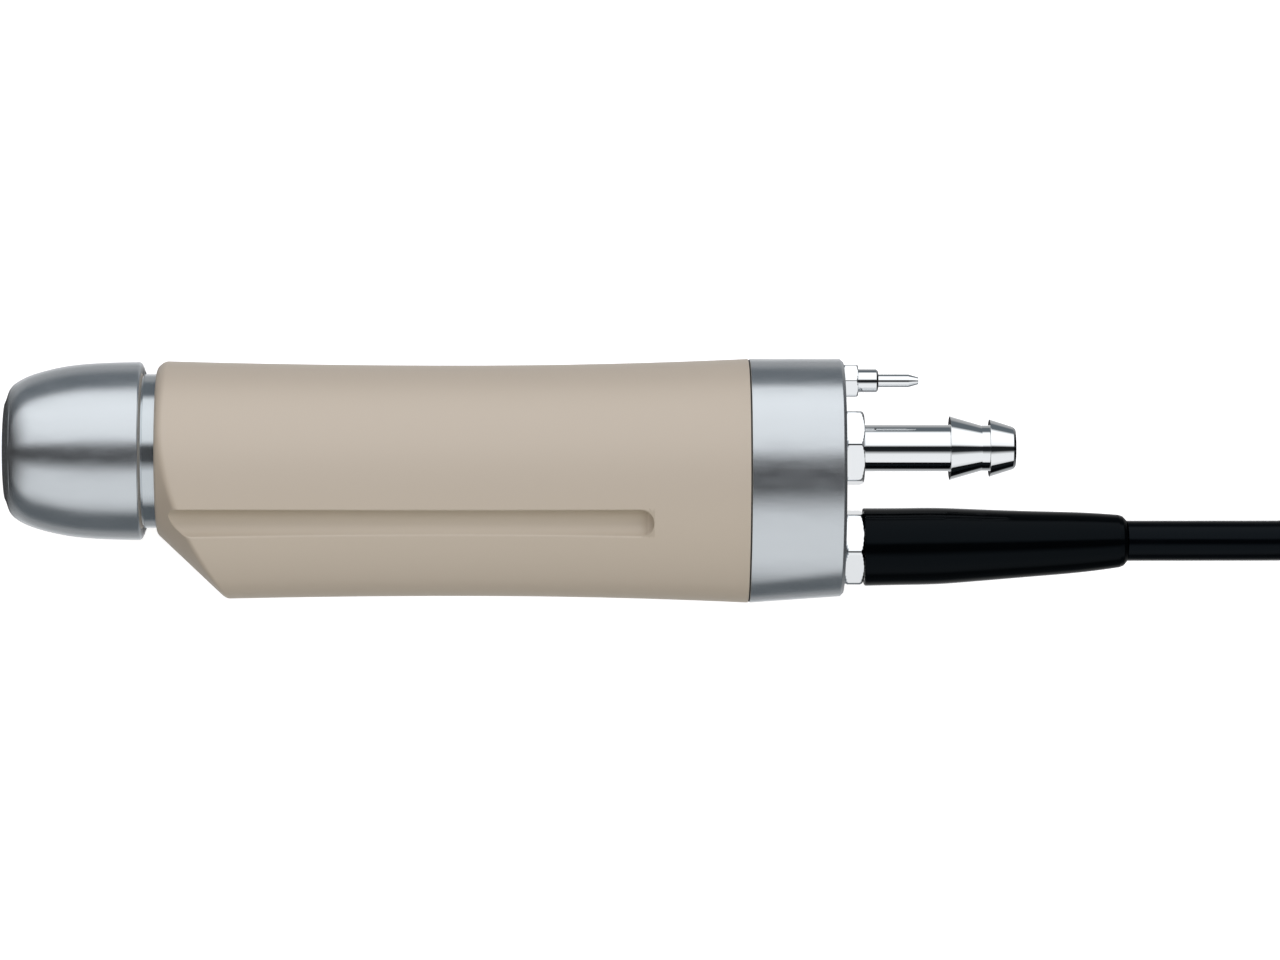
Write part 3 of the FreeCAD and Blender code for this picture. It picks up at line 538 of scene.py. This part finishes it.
def woven_strap():
    """Black woven tie: dull, with crossing threads."""
    thread_pitch = 1.4
    material = surface("woven_strap", "15161A", 0.85)
    tree = material.node_tree
    place = add(tree, "ShaderNodeTexCoord").outputs["Object"]
    parts = add(tree, "ShaderNodeSeparateXYZ", {"Vector": place})
    around = add(tree, "ShaderNodeMath", {0: parts.outputs["Y"], 1: parts.outputs["Z"]}, operation="ADD")
    waves = []
    for side in (parts.outputs["X"], around.outputs["Value"]):
        turns = add(tree, "ShaderNodeMath", {
            0: side, 1: 2 * math.pi / (thread_pitch * MM),
        }, operation="MULTIPLY")
        wave = add(tree, "ShaderNodeMath", {0: turns.outputs["Value"]}, operation="SINE")
        waves.append(wave.outputs["Value"])
    weave = add(tree, "ShaderNodeMath", {0: waves[0], 1: waves[1]}, operation="MULTIPLY").outputs["Value"]
    bump = add(tree, "ShaderNodeBump", {"Height": weave, "Distance": 0.12 * MM, "Strength": 1.0})
    shader = next(node for node in tree.nodes if node.type == "BSDF_PRINCIPLED")
    tree.links.new(bump.outputs["Normal"], shader.inputs["Normal"])
    return material


def gold_plate():
    """Plated contacts of the plug."""
    return surface("gold_plate", "E3C27A", 0.18, 1.0)


def machined_steel():
    """Ground steel of the pieces inside."""
    return surface("machined_steel", "B9BCBF", 0.28, 1.0)


def machined_aluminium():
    """Turned aluminium cases inside."""
    return surface("machined_aluminium", "C6C9CC", 0.36, 1.0)


def milky_plastic():
    """Milky tubes inside."""
    return surface("milky_tube", "D9DCDC", 0.4)


def enamelled_copper():
    """Windings and wires inside."""
    return surface("enamelled_copper", "A8602F", 0.35, 0.6)


def circuit_board():
    """The small sensor board inside."""
    return surface("circuit_board", "1C5A38", 0.4)


satin = satin_stainless()
polished = polished_stainless()
bevel_highlight = bevel_painted_highlight()
chrome = chrome_plate()
beige = beige_plastic()
groove_shade = beige_painted_shade()
rubber = black_rubber()
jacket = black_jacket()
gasket = dark_gasket()
strap = woven_strap()
gold = gold_plate()
steel = machined_steel()
aluminium = machined_aluminium()
milky = milky_plastic()
copper = enamelled_copper()
board = circuit_board()

cord.data.materials.append(jacket)

# Housing and rear cap

mean_radius = 15.0
stations = [housing_front + nose_round * (1 - math.cos(nose_turn * i / 8)) for i in range(1, 9)]
stations += span(stations[-1], 37.0, 0.22)
stations += span(37.0, 94.0, 2.3)
stations += span(94.0, groove_end, 0.8)
stations += [groove_end + groove_radius * math.sin(math.radians(90 * i / 14)) for i in range(1, 15)]
stations += span(stations[-1], housing_rear - 0.25, 2.4)
first_ring = housing_ring(housing_front + 1e-4)
rear_ring = housing_ring(housing_rear)
inner_rear = housing_ring(housing_rear, wall)
inner_front = housing_front + 2.0
rings = [
    shrunk(first_ring, housing_front, flange_radius + 0.12),
    shrunk(first_ring, housing_front, flange_radius + 0.3),
    shrunk(first_ring, housing_front, 12.0),
    shrunk(first_ring, housing_front, nose_corner - nose_reach),
]
rings += [housing_ring(x) for x in stations]
rings.append([(housing_rear - 0.12, y, z) for _, y, z in rear_ring])
for depth, inset in ((0.03, 0.06), (0.0, 0.16), (0.0, 0.3)):
    share = 1 - inset / mean_radius
    rings.append([(housing_rear - depth, y * share, z * share) for _, y, z in rear_ring])
rings.append([(housing_rear, y, z) for _, y, z in inner_rear])
inner_stations = span(housing_rear, inner_front + 14, 5.0) + span(inner_front + 14, inner_front, 1.2)
rings += [housing_ring(x, wall) for x in inner_stations]
rings.append(shrunk(first_ring, inner_front, flange_radius + 0.3))
rings.append(shrunk(first_ring, inner_front, flange_radius))
rings.append(shrunk(first_ring, housing_front + 0.12, flange_radius))
housing = skin("housing_moulding", rings, beige, closed=True)
# The second material is the grooves' darker beige: painted shade in the recess.
housing.data.materials.append(groove_shade)
for face in housing.data.polygons:
    middle = face.center / MM
    away = math.hypot(middle.y - groove_middle[0], abs(middle.z) - groove_middle[1])
    if away < groove_radius + 0.02 and middle.x < groove_end + groove_radius and face.normal.x > -0.5:
        face.material_index = 1
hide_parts("housing_shell")


def cap_ring(x, inset=0.0):
    """The cap's section at x, which rises a little below towards the rear."""
    angles = np.linspace(0.0, 2 * math.pi, 240, endpoint=False)
    lift = cap_lift * max(0.0, (x - cap_front) / (cap_rear - cap_front))
    r = egg(angles, swell(x) - inset, lift)
    return [(x, float(y), float(z)) for y, z in zip(r * np.cos(angles), r * np.sin(angles))]


def cap_face(x, share, inset):
    """A section drawn in to a share of its size, about the middle of the cap."""
    return [(x, y * share + cap_middle * (1 - share), z * share) for _, y, z in cap_ring(x, inset)]


rings = [cap_face(cap_rear, s, 0.5) for s in (0.0, 0.3, 0.6, 0.9, 0.985)]
rim = eased([(cap_rear, 0.75), (cap_rear, 0.5), (cap_rear - 0.5, 0.0), (cap_rear - 2.0, 0.0)], 0.25)
rings += [cap_ring(float(x), float(inset)) for x, inset in rim]
rings += [cap_ring(x) for x in span(cap_rear - 2.0, cap_front + 0.2, 2.0)]
rings += [cap_ring(cap_front + 0.06, 0.02), cap_ring(cap_front, 0.1), cap_ring(cap_front, cap_wall)]
rings += [cap_ring(x, cap_wall) for x in span(cap_front, plate_front, 4.0)]
rings += [cap_face(plate_front, s, cap_wall) for s in (0.9, 0.5, 0.0)]
cap = skin("rear_cap_shell", rings, satin)
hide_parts("rear_cap")

# Sleeve, nose ring and the neck behind them

sleeve_length = 21.6
front_radius = 7.5
rear_radius = 13.7
curve_shares = (
    (0.007, 0.048), (0.0366, 0.3226), (0.1053, 0.5403), (0.2471, 0.7419), (0.4577, 0.9032),
    (0.6865, 0.9758),
)
shape_points = [(0.0, front_radius)]
for along, rise in curve_shares:
    shape_points.append((along * sleeve_length, front_radius + rise * (rear_radius - front_radius)))
shape_points.append((sleeve_length - 0.6, rear_radius))


def smooth_line(points, count):
    """A natural cubic through points, by the length along them."""
    p = np.array(points)
    t = np.concatenate([[0.0], np.cumsum(np.linalg.norm(np.diff(p, axis=0), axis=1))])
    gaps = np.diff(t)
    size = len(p)
    system = np.eye(size)
    right = np.zeros((size, 2))
    for i in range(1, size - 1):
        system[i, i - 1] = gaps[i - 1]
        system[i, i] = 2 * (gaps[i - 1] + gaps[i])
        system[i, i + 1] = gaps[i]
        right[i] = 6 * ((p[i + 1] - p[i]) / gaps[i] - (p[i] - p[i - 1]) / gaps[i - 1])
    bend = np.linalg.solve(system, right)
    out = []
    for s in np.linspace(0.0, t[-1], count):
        i = min(size - 2, int(np.searchsorted(t, s, side="right") - 1))
        a = (t[i + 1] - s) / gaps[i]
        b = (s - t[i]) / gaps[i]
        bulge = ((a ** 3 - a) * bend[i] + (b ** 3 - b) * bend[i + 1]) * gaps[i] ** 2 / 6
        out.append(a * p[i] + b * p[i + 1] + bulge)
    return out


outside = smooth_line(shape_points, 90)
ring_radius = 9.95
ring_length = 2.4
ring_x = float(np.interp(ring_radius, [p[1] for p in outside[:30]], [p[0] for p in outside[:30]]))
sleeve_front = [(ring_x, ring_radius)]
sleeve_front += [tuple(p) for p in outside if ring_x + 0.1 < p[0] < sleeve_length - 1.1]
sleeve_front += [
    (sleeve_length - 0.95, rear_radius - 0.01), (sleeve_length - 0.75, rear_radius - 0.05),
    (sleeve_length - 0.55, rear_radius - 0.18), (sleeve_length - 0.4, rear_radius - 0.4),
    (sleeve_length - 0.2, rear_radius - 0.85), (sleeve_length - 0.05, rear_radius - 1.35),
]
sleeve_back = [
    (sleeve_length, rear_radius - 1.5), (sleeve_length, 11.95), (16.25, 11.95), (16.25, 10.9),
    (11.5, 10.9), (11.5, 8.7), (8.95, 8.7), (7.2, 9.4), (5.05, 9.4), (5.05, 10.0),
    (ring_length, 10.0), (ring_length, ring_radius),
]
sleeve = turned(
    "locking_sleeve_shell", sleeve_front + sleeve_back, satin, "sleeve", ease=0.12, closed=True, sides=160,
)
# Faces of the rear bevel take the bright material: polished steel, with a painted highlight in its lighter
# colour.
sleeve.data.materials.append(bevel_highlight)
for face in sleeve.data.polygons:
    middle = face.center / MM
    if middle.x > sleeve_length - 0.42 and math.hypot(middle.y, middle.z) > 12.1:
        face.material_index = 1
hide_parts("locking_sleeve")
ring_front = [(0.12, 7.2), (0.02, 7.32), (0.0, 7.42)]
ring_front += [tuple(p) for p in outside if p[0] < ring_x - 0.02]
ring_front += [(ring_x, ring_radius), (ring_length, ring_radius), (ring_length, 7.2)]
front_ring = turned("sleeve_nose_ring", ring_front, satin, "sleeve", ease=0.1, closed=True, sides=160)
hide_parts("nose_ring")

# Fittings on the rear face


def hexagon_rings(flats, start, end, centre, turn, edge):
    """A hexagonal nut's outside, with its corners turned off at both ends."""
    corner = flats / math.cos(math.radians(30))
    angles = np.linspace(0.0, 2 * math.pi, 216, endpoint=False)
    apart = np.mod(angles, math.radians(60)) - math.radians(30)
    flat = flats / np.cos(apart)
    flat = blend_min(flat, np.full_like(flat, corner - edge), 0.06)
    slope = 1 / math.tan(math.radians(30))
    rings = []
    places = [p for p in (0.0, 0.04, 0.1, 0.18, 0.28, 0.4, 0.55, 0.7) if p < (end - start) / 2]
    for x in [start + p for p in places] + [end - p for p in reversed(places)]:
        depth = min(x - start, end - x)
        lip = 0.05 * math.sqrt(max(0.0, 1 - (1 - min(1.0, depth / 0.08)) ** 2))
        limit = flats - 0.2 + lip + slope * depth
        r = blend_min(flat, np.full_like(flat, limit), 0.06)
        a = angles + math.radians(turn)
        rings.append([
            (x, centre[0] + float(y), centre[1] + float(z)) for y, z in zip(r * np.sin(a), r * np.cos(a))
        ])
    return rings


def hex_piece(name, flats, start, end, centre, turn, material, edge=0.12):
    """A closed hexagonal nut."""
    rings = hexagon_rings(flats, start, end, centre, turn, edge)

    def drawn_in(ring, x, share):
        return [
            (x, centre[0] + (y - centre[0]) * share, centre[1] + (z - centre[1]) * share)
            for _, y, z in ring
        ]

    front = [drawn_in(rings[0], start, 0.0), drawn_in(rings[0], start, 0.9)]
    rear = [drawn_in(rings[-1], end, 0.9), drawn_in(rings[-1], end, 0.0)]
    return skin(name, front + rings + rear, material)


port_flats = 6.25 * math.cos(math.radians(30))
port_hex_rear = cap_rear + 3.2
port_centre = (0.45, 0.0)
hex_piece("suction_hexagon", port_flats, cap_rear, port_hex_rear, port_centre, 6.0, chrome)
barb = [
    (port_hex_rear - 0.1, 2.4), (port_hex_rear - 0.1, 3.58), (145.2, 3.58), (145.2, 4.93),
    (150.1, 3.5), (151.3, 3.5), (151.3, 4.45), (154.9, 3.3), (155.3, 2.9), (155.3, 2.4),
]
suction = turned("suction_barb_tube", barb, chrome, centre=port_centre, ease=0.06, closed=True)
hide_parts("suction_fitting")
irrigation_centre = (10.8, 0.0)
irrigation_hex_rear = cap_rear + 2.3
hex_piece("irrigation_hexagon", 2.45, cap_rear, irrigation_hex_rear, irrigation_centre, 0.0, chrome, 0.06)
pin = [
    (irrigation_hex_rear - 0.1, 0.4), (irrigation_hex_rear - 0.1, 1.8), (133.9, 1.8), (134.2, 1.5),
    (134.2, 1.0), (138.9, 1.0), (140.4, 0.55), (140.4, 0.4),
]
irrigation = turned(
    "irrigation_pin_tube", pin, chrome, centre=irrigation_centre, ease=0.08, closed=True, sides=48,
)
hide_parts("irrigation_fitting")
gland_rear = cap_rear + 3.1
gland = hex_piece("cable_gland_hexagon", port_flats, cap_rear, gland_rear, (-14.85, 0.0), -6.0, chrome)
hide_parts("gland_body")

# Boot about the cable

lean = math.atan2(1.3, boot_end - 118.0)
boot_length = 40.5
boot_sag = 0.14
boot_shape = [
    (-boot_length, 5.98), (-34.5, 5.92), (-29.0, 5.87), (-25.2, 5.68), (-14.1, 5.03), (-4.85, 4.44),
    (-1.2, 4.06),
]
boot_line = [(-boot_length, 0.0), (-boot_length, 3.0)]
boot_line += [tuple(p) for p in smooth_line(boot_shape, 48)]
boot_line += [(-0.55, 3.82), (0.0, 3.2), (0.0, 0.0)]
boot_rings = []
for x, r in eased(boot_line, 0.3):
    ring = []
    for i in range(96):
        a = 2 * math.pi * i / 96
        along = max(x, -boot_length)
        across = r * math.cos(a)
        px = boot_end + along * math.cos(lean) - across * math.sin(lean)
        sag = boot_sag * 4 * (along / boot_length) * (1 + along / boot_length)
        py = cable_place + along * math.sin(lean) + across * math.cos(lean) + sag
        ring.append((max(px, gland_rear), py, r * math.sin(a)))
    boot_rings.append(ring)
boot = skin("strain_relief_boot", boot_rings, rubber)
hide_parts("strain_relief")

# Plug at the cable's far end

plug_start = 304.0
back_start = 320.0
collar_start = 336.0
collar_end = 350.0
plug_end = 359.0
tail_line = [(plug_start, 0.0), (plug_start, 3.9), (back_start, 6.0), (back_start, 0.0)]
plug_boot = turned("plug_tail_boot", tail_line, rubber, centre=plug_axis, ease=0.5)
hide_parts("plug_boot")
back_line = [(back_start, 0.0), (back_start, 6.6), (back_start + 0.8, 7.4)]
for start in (324.0, 329.0):
    back_line += [(start, 7.4), (start, 6.9), (start + 2, 6.9), (start + 2, 7.4)]
back_line += [(collar_start, 7.4), (collar_start, 0.0)]
plug_back = turned("plug_back_shell", back_line, satin, centre=plug_axis, ease=0.12)
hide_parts("plug_back")
collar_line = [
    (collar_start, 0.0), (collar_start, 6.8), (338.0, 6.8), (347.5, 6.8), (349.2, 6.8), (collar_end, 6.0),
    (collar_end, 0.0),
]
collar_rings = []
for x, r in eased(collar_line, 0.15):
    depth = 0.42 * min(1.0, max(0.0, (x - 337.6) / 0.6)) * min(1.0, max(0.0, (348.0 - x) / 0.6))
    ring = []
    for i in range(216):
        a = 2 * math.pi * i / 216
        dip = depth * max(0.0, math.cos(18 * a)) ** 1.5 if r > 6.7 else 0.0
        ring.append((x, plug_axis[0] + (r - dip) * math.cos(a), plug_axis[1] + (r - dip) * math.sin(a)))
    collar_rings.append(ring)
plug_collar = skin("plug_grip_collar", collar_rings, satin)
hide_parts("plug_collar")
shell_line = [(collar_end, 4.6), (collar_end, 5.2), (plug_end, 5.2), (plug_end, 4.6)]
plug_shell = turned("plug_nose_shell", shell_line, chrome, centre=plug_axis, ease=0.15, closed=True)
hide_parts("plug_shell")


def ring_of_copies():
    """A node tree that sets one piece in the middle and copies of it in a ring about X."""
    tree = bpy.data.node_groups.new("ring_of_copies", "GeometryNodeTree")
    tree.interface.new_socket("Count", in_out="INPUT", socket_type="NodeSocketInt")
    tree.interface.new_socket("Radius", in_out="INPUT", socket_type="NodeSocketFloat")
    tree.interface.new_socket("Piece", in_out="INPUT", socket_type="NodeSocketObject")
    tree.interface.new_socket("Geometry", in_out="OUTPUT", socket_type="NodeSocketGeometry")
    given = add(tree, "NodeGroupInput").outputs
    circle = add(tree, "GeometryNodeMeshCircle", {"Vertices": given["Count"], "Radius": given["Radius"]})
    stood = add(tree, "GeometryNodeTransform", {
        "Geometry": circle.outputs["Mesh"], "Rotation": (math.radians(90), 0.0, math.radians(90)),
    })
    middle = add(tree, "GeometryNodeMeshLine", {"Count": 1})
    places = add(tree, "GeometryNodeJoinGeometry", {"Geometry": middle.outputs["Mesh"]})
    tree.links.new(stood.outputs["Geometry"], places.inputs["Geometry"])
    piece = add(tree, "GeometryNodeObjectInfo", {"Object": given["Piece"]})
    copies = add(tree, "GeometryNodeInstanceOnPoints", {
        "Points": places.outputs["Geometry"], "Instance": piece.outputs["Geometry"],
    })
    real = add(tree, "GeometryNodeRealizeInstances", {"Geometry": copies.outputs["Instances"]})
    add(tree, "NodeGroupOutput", {"Geometry": real.outputs["Geometry"]})
    return tree


def plain_copies(name, tree, values, place, material):
    """The node tree's result as a plain mesh piece, set at a place in mm."""
    holder = bpy.data.objects.new(name + "_holder", bpy.data.meshes.new(name + "_holder"))
    scene.collection.objects.link(holder)
    modifier = holder.modifiers.new("copies", "NODES")
    modifier.node_group = tree
    for item in tree.interface.items_tree:
        if item.in_out == "INPUT":
            modifier[item.identifier] = values[item.name]
    bpy.context.view_layer.update()
    result = holder.evaluated_get(bpy.context.evaluated_depsgraph_get())
    mesh = result.to_mesh()
    vertices = [tuple(np.array(v.co) / MM + np.array(place)) for v in mesh.vertices]
    faces = [tuple(face.vertices) for face in mesh.polygons]
    result.to_mesh_clear()
    bpy.data.objects.remove(holder)
    return new_piece(name, vertices, faces, material)


pin_line = [(-0.5, 0.0), (-0.5, 0.45), (6.9, 0.45), (7.5, 0.25), (7.5, 0.0)]
one_pin = turned("one_pin", pin_line, gold, body=None, ease=0.15, sides=24)
pins = plain_copies(
    "plug_contact_pins", ring_of_copies(), {"Count": 6, "Radius": 2.6 * MM, "Piece": one_pin},
    (collar_end, *plug_axis), gold,
)
bpy.data.objects.remove(one_pin)
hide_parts("plug_pins")

# Strap about one side of the hank, with its loose end lapped over the top

tie_half = (7.0, 13.2)
tie_middle = (fold_first + fold_run / 2, -40.7, table_height + tie_half[1])
tie_width = 12.0
tie_corner = 2.5
lap_thickness = 0.65


def strap_path():
    """The band's outer line in Y and Z, once round from the middle of its top."""
    line = [(0.0, tie_half[1])]
    for side, end, start in ((-1, 1, 90), (-1, -1, 180), (1, -1, 270), (1, 1, 0)):
        for i in range(9):
            a = math.radians(start + 90 * i / 8)
            line.append((
                side * (tie_half[0] - tie_corner) + tie_corner * math.cos(a),
                end * (tie_half[1] - tie_corner) + tie_corner * math.sin(a),
            ))
    return line


def strap_layer(outer, thickness):
    """Cross-sections of the band along its outer line, with rounded edges."""
    rings = []
    for i, point in enumerate(outer):
        here = np.array(point)
        ahead = np.array(outer[min(i + 1, len(outer) - 1)]) - np.array(outer[max(i - 1, 0)])
        ahead = ahead / np.linalg.norm(ahead)
        out = np.array([-ahead[1], ahead[0]])
        if out @ here < 0:
            out = -out
        ring = []
        for across, rise in (
            (-0.5, 0.25), (-0.485, 0.02), (-0.45, 0.0), (0.0, 0.0), (0.45, 0.0), (0.485, 0.02), (0.5, 0.25),
            (0.5, 0.75), (0.485, 0.98), (0.45, 1.0), (0.0, 1.0), (-0.45, 1.0), (-0.485, 0.98), (-0.5, 0.75),
        ):
            y, z = (float(v) for v in here - out * thickness * rise)
            ring.append((tie_middle[0] + tie_width * across, tie_middle[1] + y, tie_middle[2] + z))
        rings.append(ring)
    return rings


def capped(rings):
    """The rings with both ends drawn together."""
    first = np.mean(np.array(rings[0]), axis=0)
    last = np.mean(np.array(rings[-1]), axis=0)
    start = [tuple(float(v) for v in first)] * len(rings[0])
    end = [tuple(float(v) for v in last)] * len(rings[0])
    return [start] + rings + [end]


lap = [(y, tie_half[1] + rise) for y, rise in ((-3.5, 0.15), (-1.5, 0.55), (0.0, 0.68), (2.0, 0.7))]
lap_corner = tie_corner + 0.7
for i in range(9):
    a = math.radians(90 - 90 * i / 8)
    lap.append((
        tie_half[0] - tie_corner + lap_corner * math.cos(a),
        tie_half[1] - tie_corner + lap_corner * math.sin(a),
    ))
lap += [(tie_half[0] + lift, z) for lift, z in ((0.72, 8.0), (0.8, 4.0), (1.1, 1.0), (1.7, -1.5))]
tie_band = skin("hank_strap_band", strap_layer(strap_path(), tie_thickness), strap, closed=True)
tie_end = skin("hank_strap_end", capped(strap_layer(lap, lap_thickness)), strap)
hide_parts("coil_tie")

# Inner pieces: the frame's own solids, with smooth round walls


def finished(node, material):
    """A smooth copy of a frame node, which takes the node's place."""
    mesh = nodes[node].data.copy()
    mesh.name = node + "_finished"
    model = bmesh.new()
    model.from_mesh(mesh)
    bmesh.ops.remove_doubles(model, verts=model.verts, dist=1e-7)
    for edge in model.edges:
        edge.smooth = edge.calc_face_angle(0.0) < math.radians(25)
    for face in model.faces:
        face.smooth = True
    model.to_mesh(mesh)
    model.free()
    mesh.materials.clear()
    mesh.materials.append(material)
    piece = bpy.data.objects.new(node + "_finished", mesh)
    scene.collection.objects.link(piece)
    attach(piece, nodes[node]["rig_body"])
    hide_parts(node)


looks = {
    polished: ["chuck_body"],
    gasket: ["rear_gasket", "sleeve_seal", "front_shaft_seal", "rear_shaft_seal"],
    steel: [
        "lock_ball_1", "lock_ball_2", "lock_ball_3", "stop_ring", "sleeve_spring", "drive_spindle",
        "output_gear", "motor_pinion", "rotor_shaft", "front_bearing_outer", "front_bearing_inner",
        "rear_bearing_outer", "rear_bearing_inner", "motor_bearing_front", "motor_bearing_rear",
        "case_screws", "gland_lock_nut", "suction_lock_nut", "stator_core", "rotor_magnet",
    ],
    aluminium: ["gear_case", "motor_case", "motor_lid"],
    milky: ["suction_line", "irrigation_line"],
    copper: ["stator_windings", "motor_leads"],
    board: ["sensor_board"],
}
for material, names in looks.items():
    for name in names:
        finished(name, material)

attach(cord, "handpiece")
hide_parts("cable", "cable_coil", "cable_tail")

# Studio: a white table, two long soft boxes seen only in reflections, and even light

pure_white = (1.0, 1.0, 1.0, 1.0)
world = bpy.data.worlds.new("studio")
scene.world = world
world.use_nodes = True
tree = world.node_tree
tree.nodes.clear()
ray = add(tree, "ShaderNodeLightPath")
direction = add(tree, "ShaderNodeTexCoord").outputs["Generated"]
parts = add(tree, "ShaderNodeSeparateXYZ", {"Vector": direction})
angle = add(tree, "ShaderNodeMath", {0: parts.outputs["Y"], 1: parts.outputs["Z"]}, operation="ARCTAN2")
share = add(tree, "ShaderNodeMapRange", {
    "Value": angle.outputs["Value"], "From Min": -math.pi, "From Max": math.pi,
    "To Min": 0.0, "To Max": 1.0,
})
ramp = add(tree, "ShaderNodeValToRGB", {"Fac": share.outputs["Result"]})
stops = [
    (-180, 0.85), (-162, 0.8), (-148, 0.45), (-134, 0.4), (-124, 0.13), (-93, 0.11), (-81, 0.75),
    (-68, 0.97), (-31, 0.95), (-15, 0.02), (6, 0.01), (15, 1.15), (60, 1.3), (82, 1.2), (93, 0.15),
    (120, 0.15), (132, 0.42), (148, 0.45), (162, 0.8), (180, 0.85),
]
while len(ramp.color_ramp.elements) > 1:
    ramp.color_ramp.elements.remove(ramp.color_ramp.elements[-1])
for i, (degrees, value) in enumerate(stops):
    place = (degrees + 180) / 360
    stop = ramp.color_ramp.elements[0] if i == 0 else ramp.color_ramp.elements.new(place)
    stop.position = place
    red, blue = (0.85, 1.1) if value < 0.3 else (0.98, 1.0)
    stop.color = (value * red, value * 0.99, value * blue, 1.0)
across = add(tree, "ShaderNodeMath", {0: parts.outputs["X"]}, operation="ABSOLUTE").outputs["Value"]
level_part = add(tree, "ShaderNodeCombineXYZ", {"X": parts.outputs["X"], "Y": parts.outputs["Y"]})
spread = add(tree, "ShaderNodeVectorMath", {0: level_part.outputs["Vector"]}, operation="LENGTH")
lengthwise = add(tree, "ShaderNodeMath", {0: across, 1: spread.outputs["Value"]}, operation="DIVIDE")
below = add(tree, "ShaderNodeMath", {0: parts.outputs["Z"], 1: -0.05}, operation="LESS_THAN")
under_ends = add(tree, "ShaderNodeMath", {
    0: lengthwise.outputs["Value"], 1: below.outputs["Value"],
}, operation="MULTIPLY")
across = add(tree, "ShaderNodeMath", {0: across, 1: under_ends.outputs["Value"]}, operation="MAXIMUM")
ends = add(tree, "ShaderNodeMapRange", {
    "Value": across.outputs["Value"], "From Min": 0.62, "From Max": 0.95, "To Min": 1.0, "To Max": 0.05,
})
softboxes = add(tree, "ShaderNodeMixRGB", {
    "Fac": 1.0, "Color1": ramp.outputs["Color"], "Color2": ends.outputs["Result"],
}, blend_type="MULTIPLY").outputs["Color"]
glossy = add(tree, "ShaderNodeBackground", {"Color": softboxes, "Strength": 1.0}).outputs["Background"]
fade = add(tree, "ShaderNodeMapRange", {
    "Value": parts.outputs["X"], "From Min": -1.0, "From Max": 0.3, "To Min": 0.05, "To Max": 0.46,
}).outputs["Result"]
warmth = add(tree, "ShaderNodeMapRange", {
    "Value": parts.outputs["X"], "From Min": -1.0, "From Max": 0.4, "To Min": 0.0, "To Max": 1.0,
}).outputs["Result"]
room = add(tree, "ShaderNodeMixRGB", {
    "Fac": warmth, "Color1": (1.0, 0.75, 0.5, 1.0), "Color2": pure_white,
}).outputs["Color"]
even = add(tree, "ShaderNodeBackground", {"Color": room, "Strength": fade}).outputs["Background"]
white = add(tree, "ShaderNodeBackground", {"Color": pure_white, "Strength": 1.0}).outputs["Background"]
lit = add(tree, "ShaderNodeMixShader", {0: ray.outputs["Is Glossy Ray"], 1: even, 2: glossy})
seen = add(tree, "ShaderNodeMixShader", {
    0: ray.outputs["Is Camera Ray"], 1: lit.outputs["Shader"], 2: white,
})
add(tree, "ShaderNodeOutputWorld", {"Surface": seen.outputs["Shader"]})


def sun(name, toward, strength, spread, colour):
    """A broad even light from the given direction, which no reflection shows."""
    data = bpy.data.lights.new(name, "SUN")
    data.energy = strength
    data.color = colour
    data.angle = math.radians(spread)
    lamp = bpy.data.objects.new(name, data)
    lamp.rotation_euler = Vector(toward).to_track_quat("Z", "Y").to_euler()
    lamp.visible_glossy = False
    scene.collection.objects.link(lamp)


sun("key_light", (0.2, 0.38, 0.9), 1.86, 85, (0.98, 0.99, 1.08))
sun("fill_light", (0.25, -0.75, 0.5), 0.27, 60, (1.0, 0.98, 0.8))

paper = bpy.data.materials.new("table_paper")
paper.use_nodes = True
tree = paper.node_tree
tree.nodes.clear()
ray = add(tree, "ShaderNodeLightPath")
lit = add(tree, "ShaderNodeBsdfDiffuse", {"Color": (0.8, 0.8, 0.8, 1.0)}).outputs["BSDF"]
glow = add(tree, "ShaderNodeEmission", {"Color": pure_white, "Strength": 0.75}).outputs["Emission"]
both = add(tree, "ShaderNodeAddShader", {0: lit, 1: glow}).outputs["Shader"]
mixed = add(tree, "ShaderNodeMixShader", {0: ray.outputs["Is Camera Ray"], 1: lit, 2: both})
add(tree, "ShaderNodeOutputMaterial", {"Surface": mixed.outputs["Shader"]})
half = 3.0
table_mesh = bpy.data.meshes.new("table")
level = table_height * MM
corners = [(x * half, y * half, level) for x, y in ((-1, -1), (1, -1), (1, 1), (-1, 1))]
table_mesh.from_pydata(corners, [], [(0, 1, 2, 3)])
table_mesh.materials.append(paper)
table_top = bpy.data.objects.new("table", table_mesh)
table_top.visible_glossy = False
scene.collection.objects.link(table_top)

scene.view_settings.view_transform = "Standard"
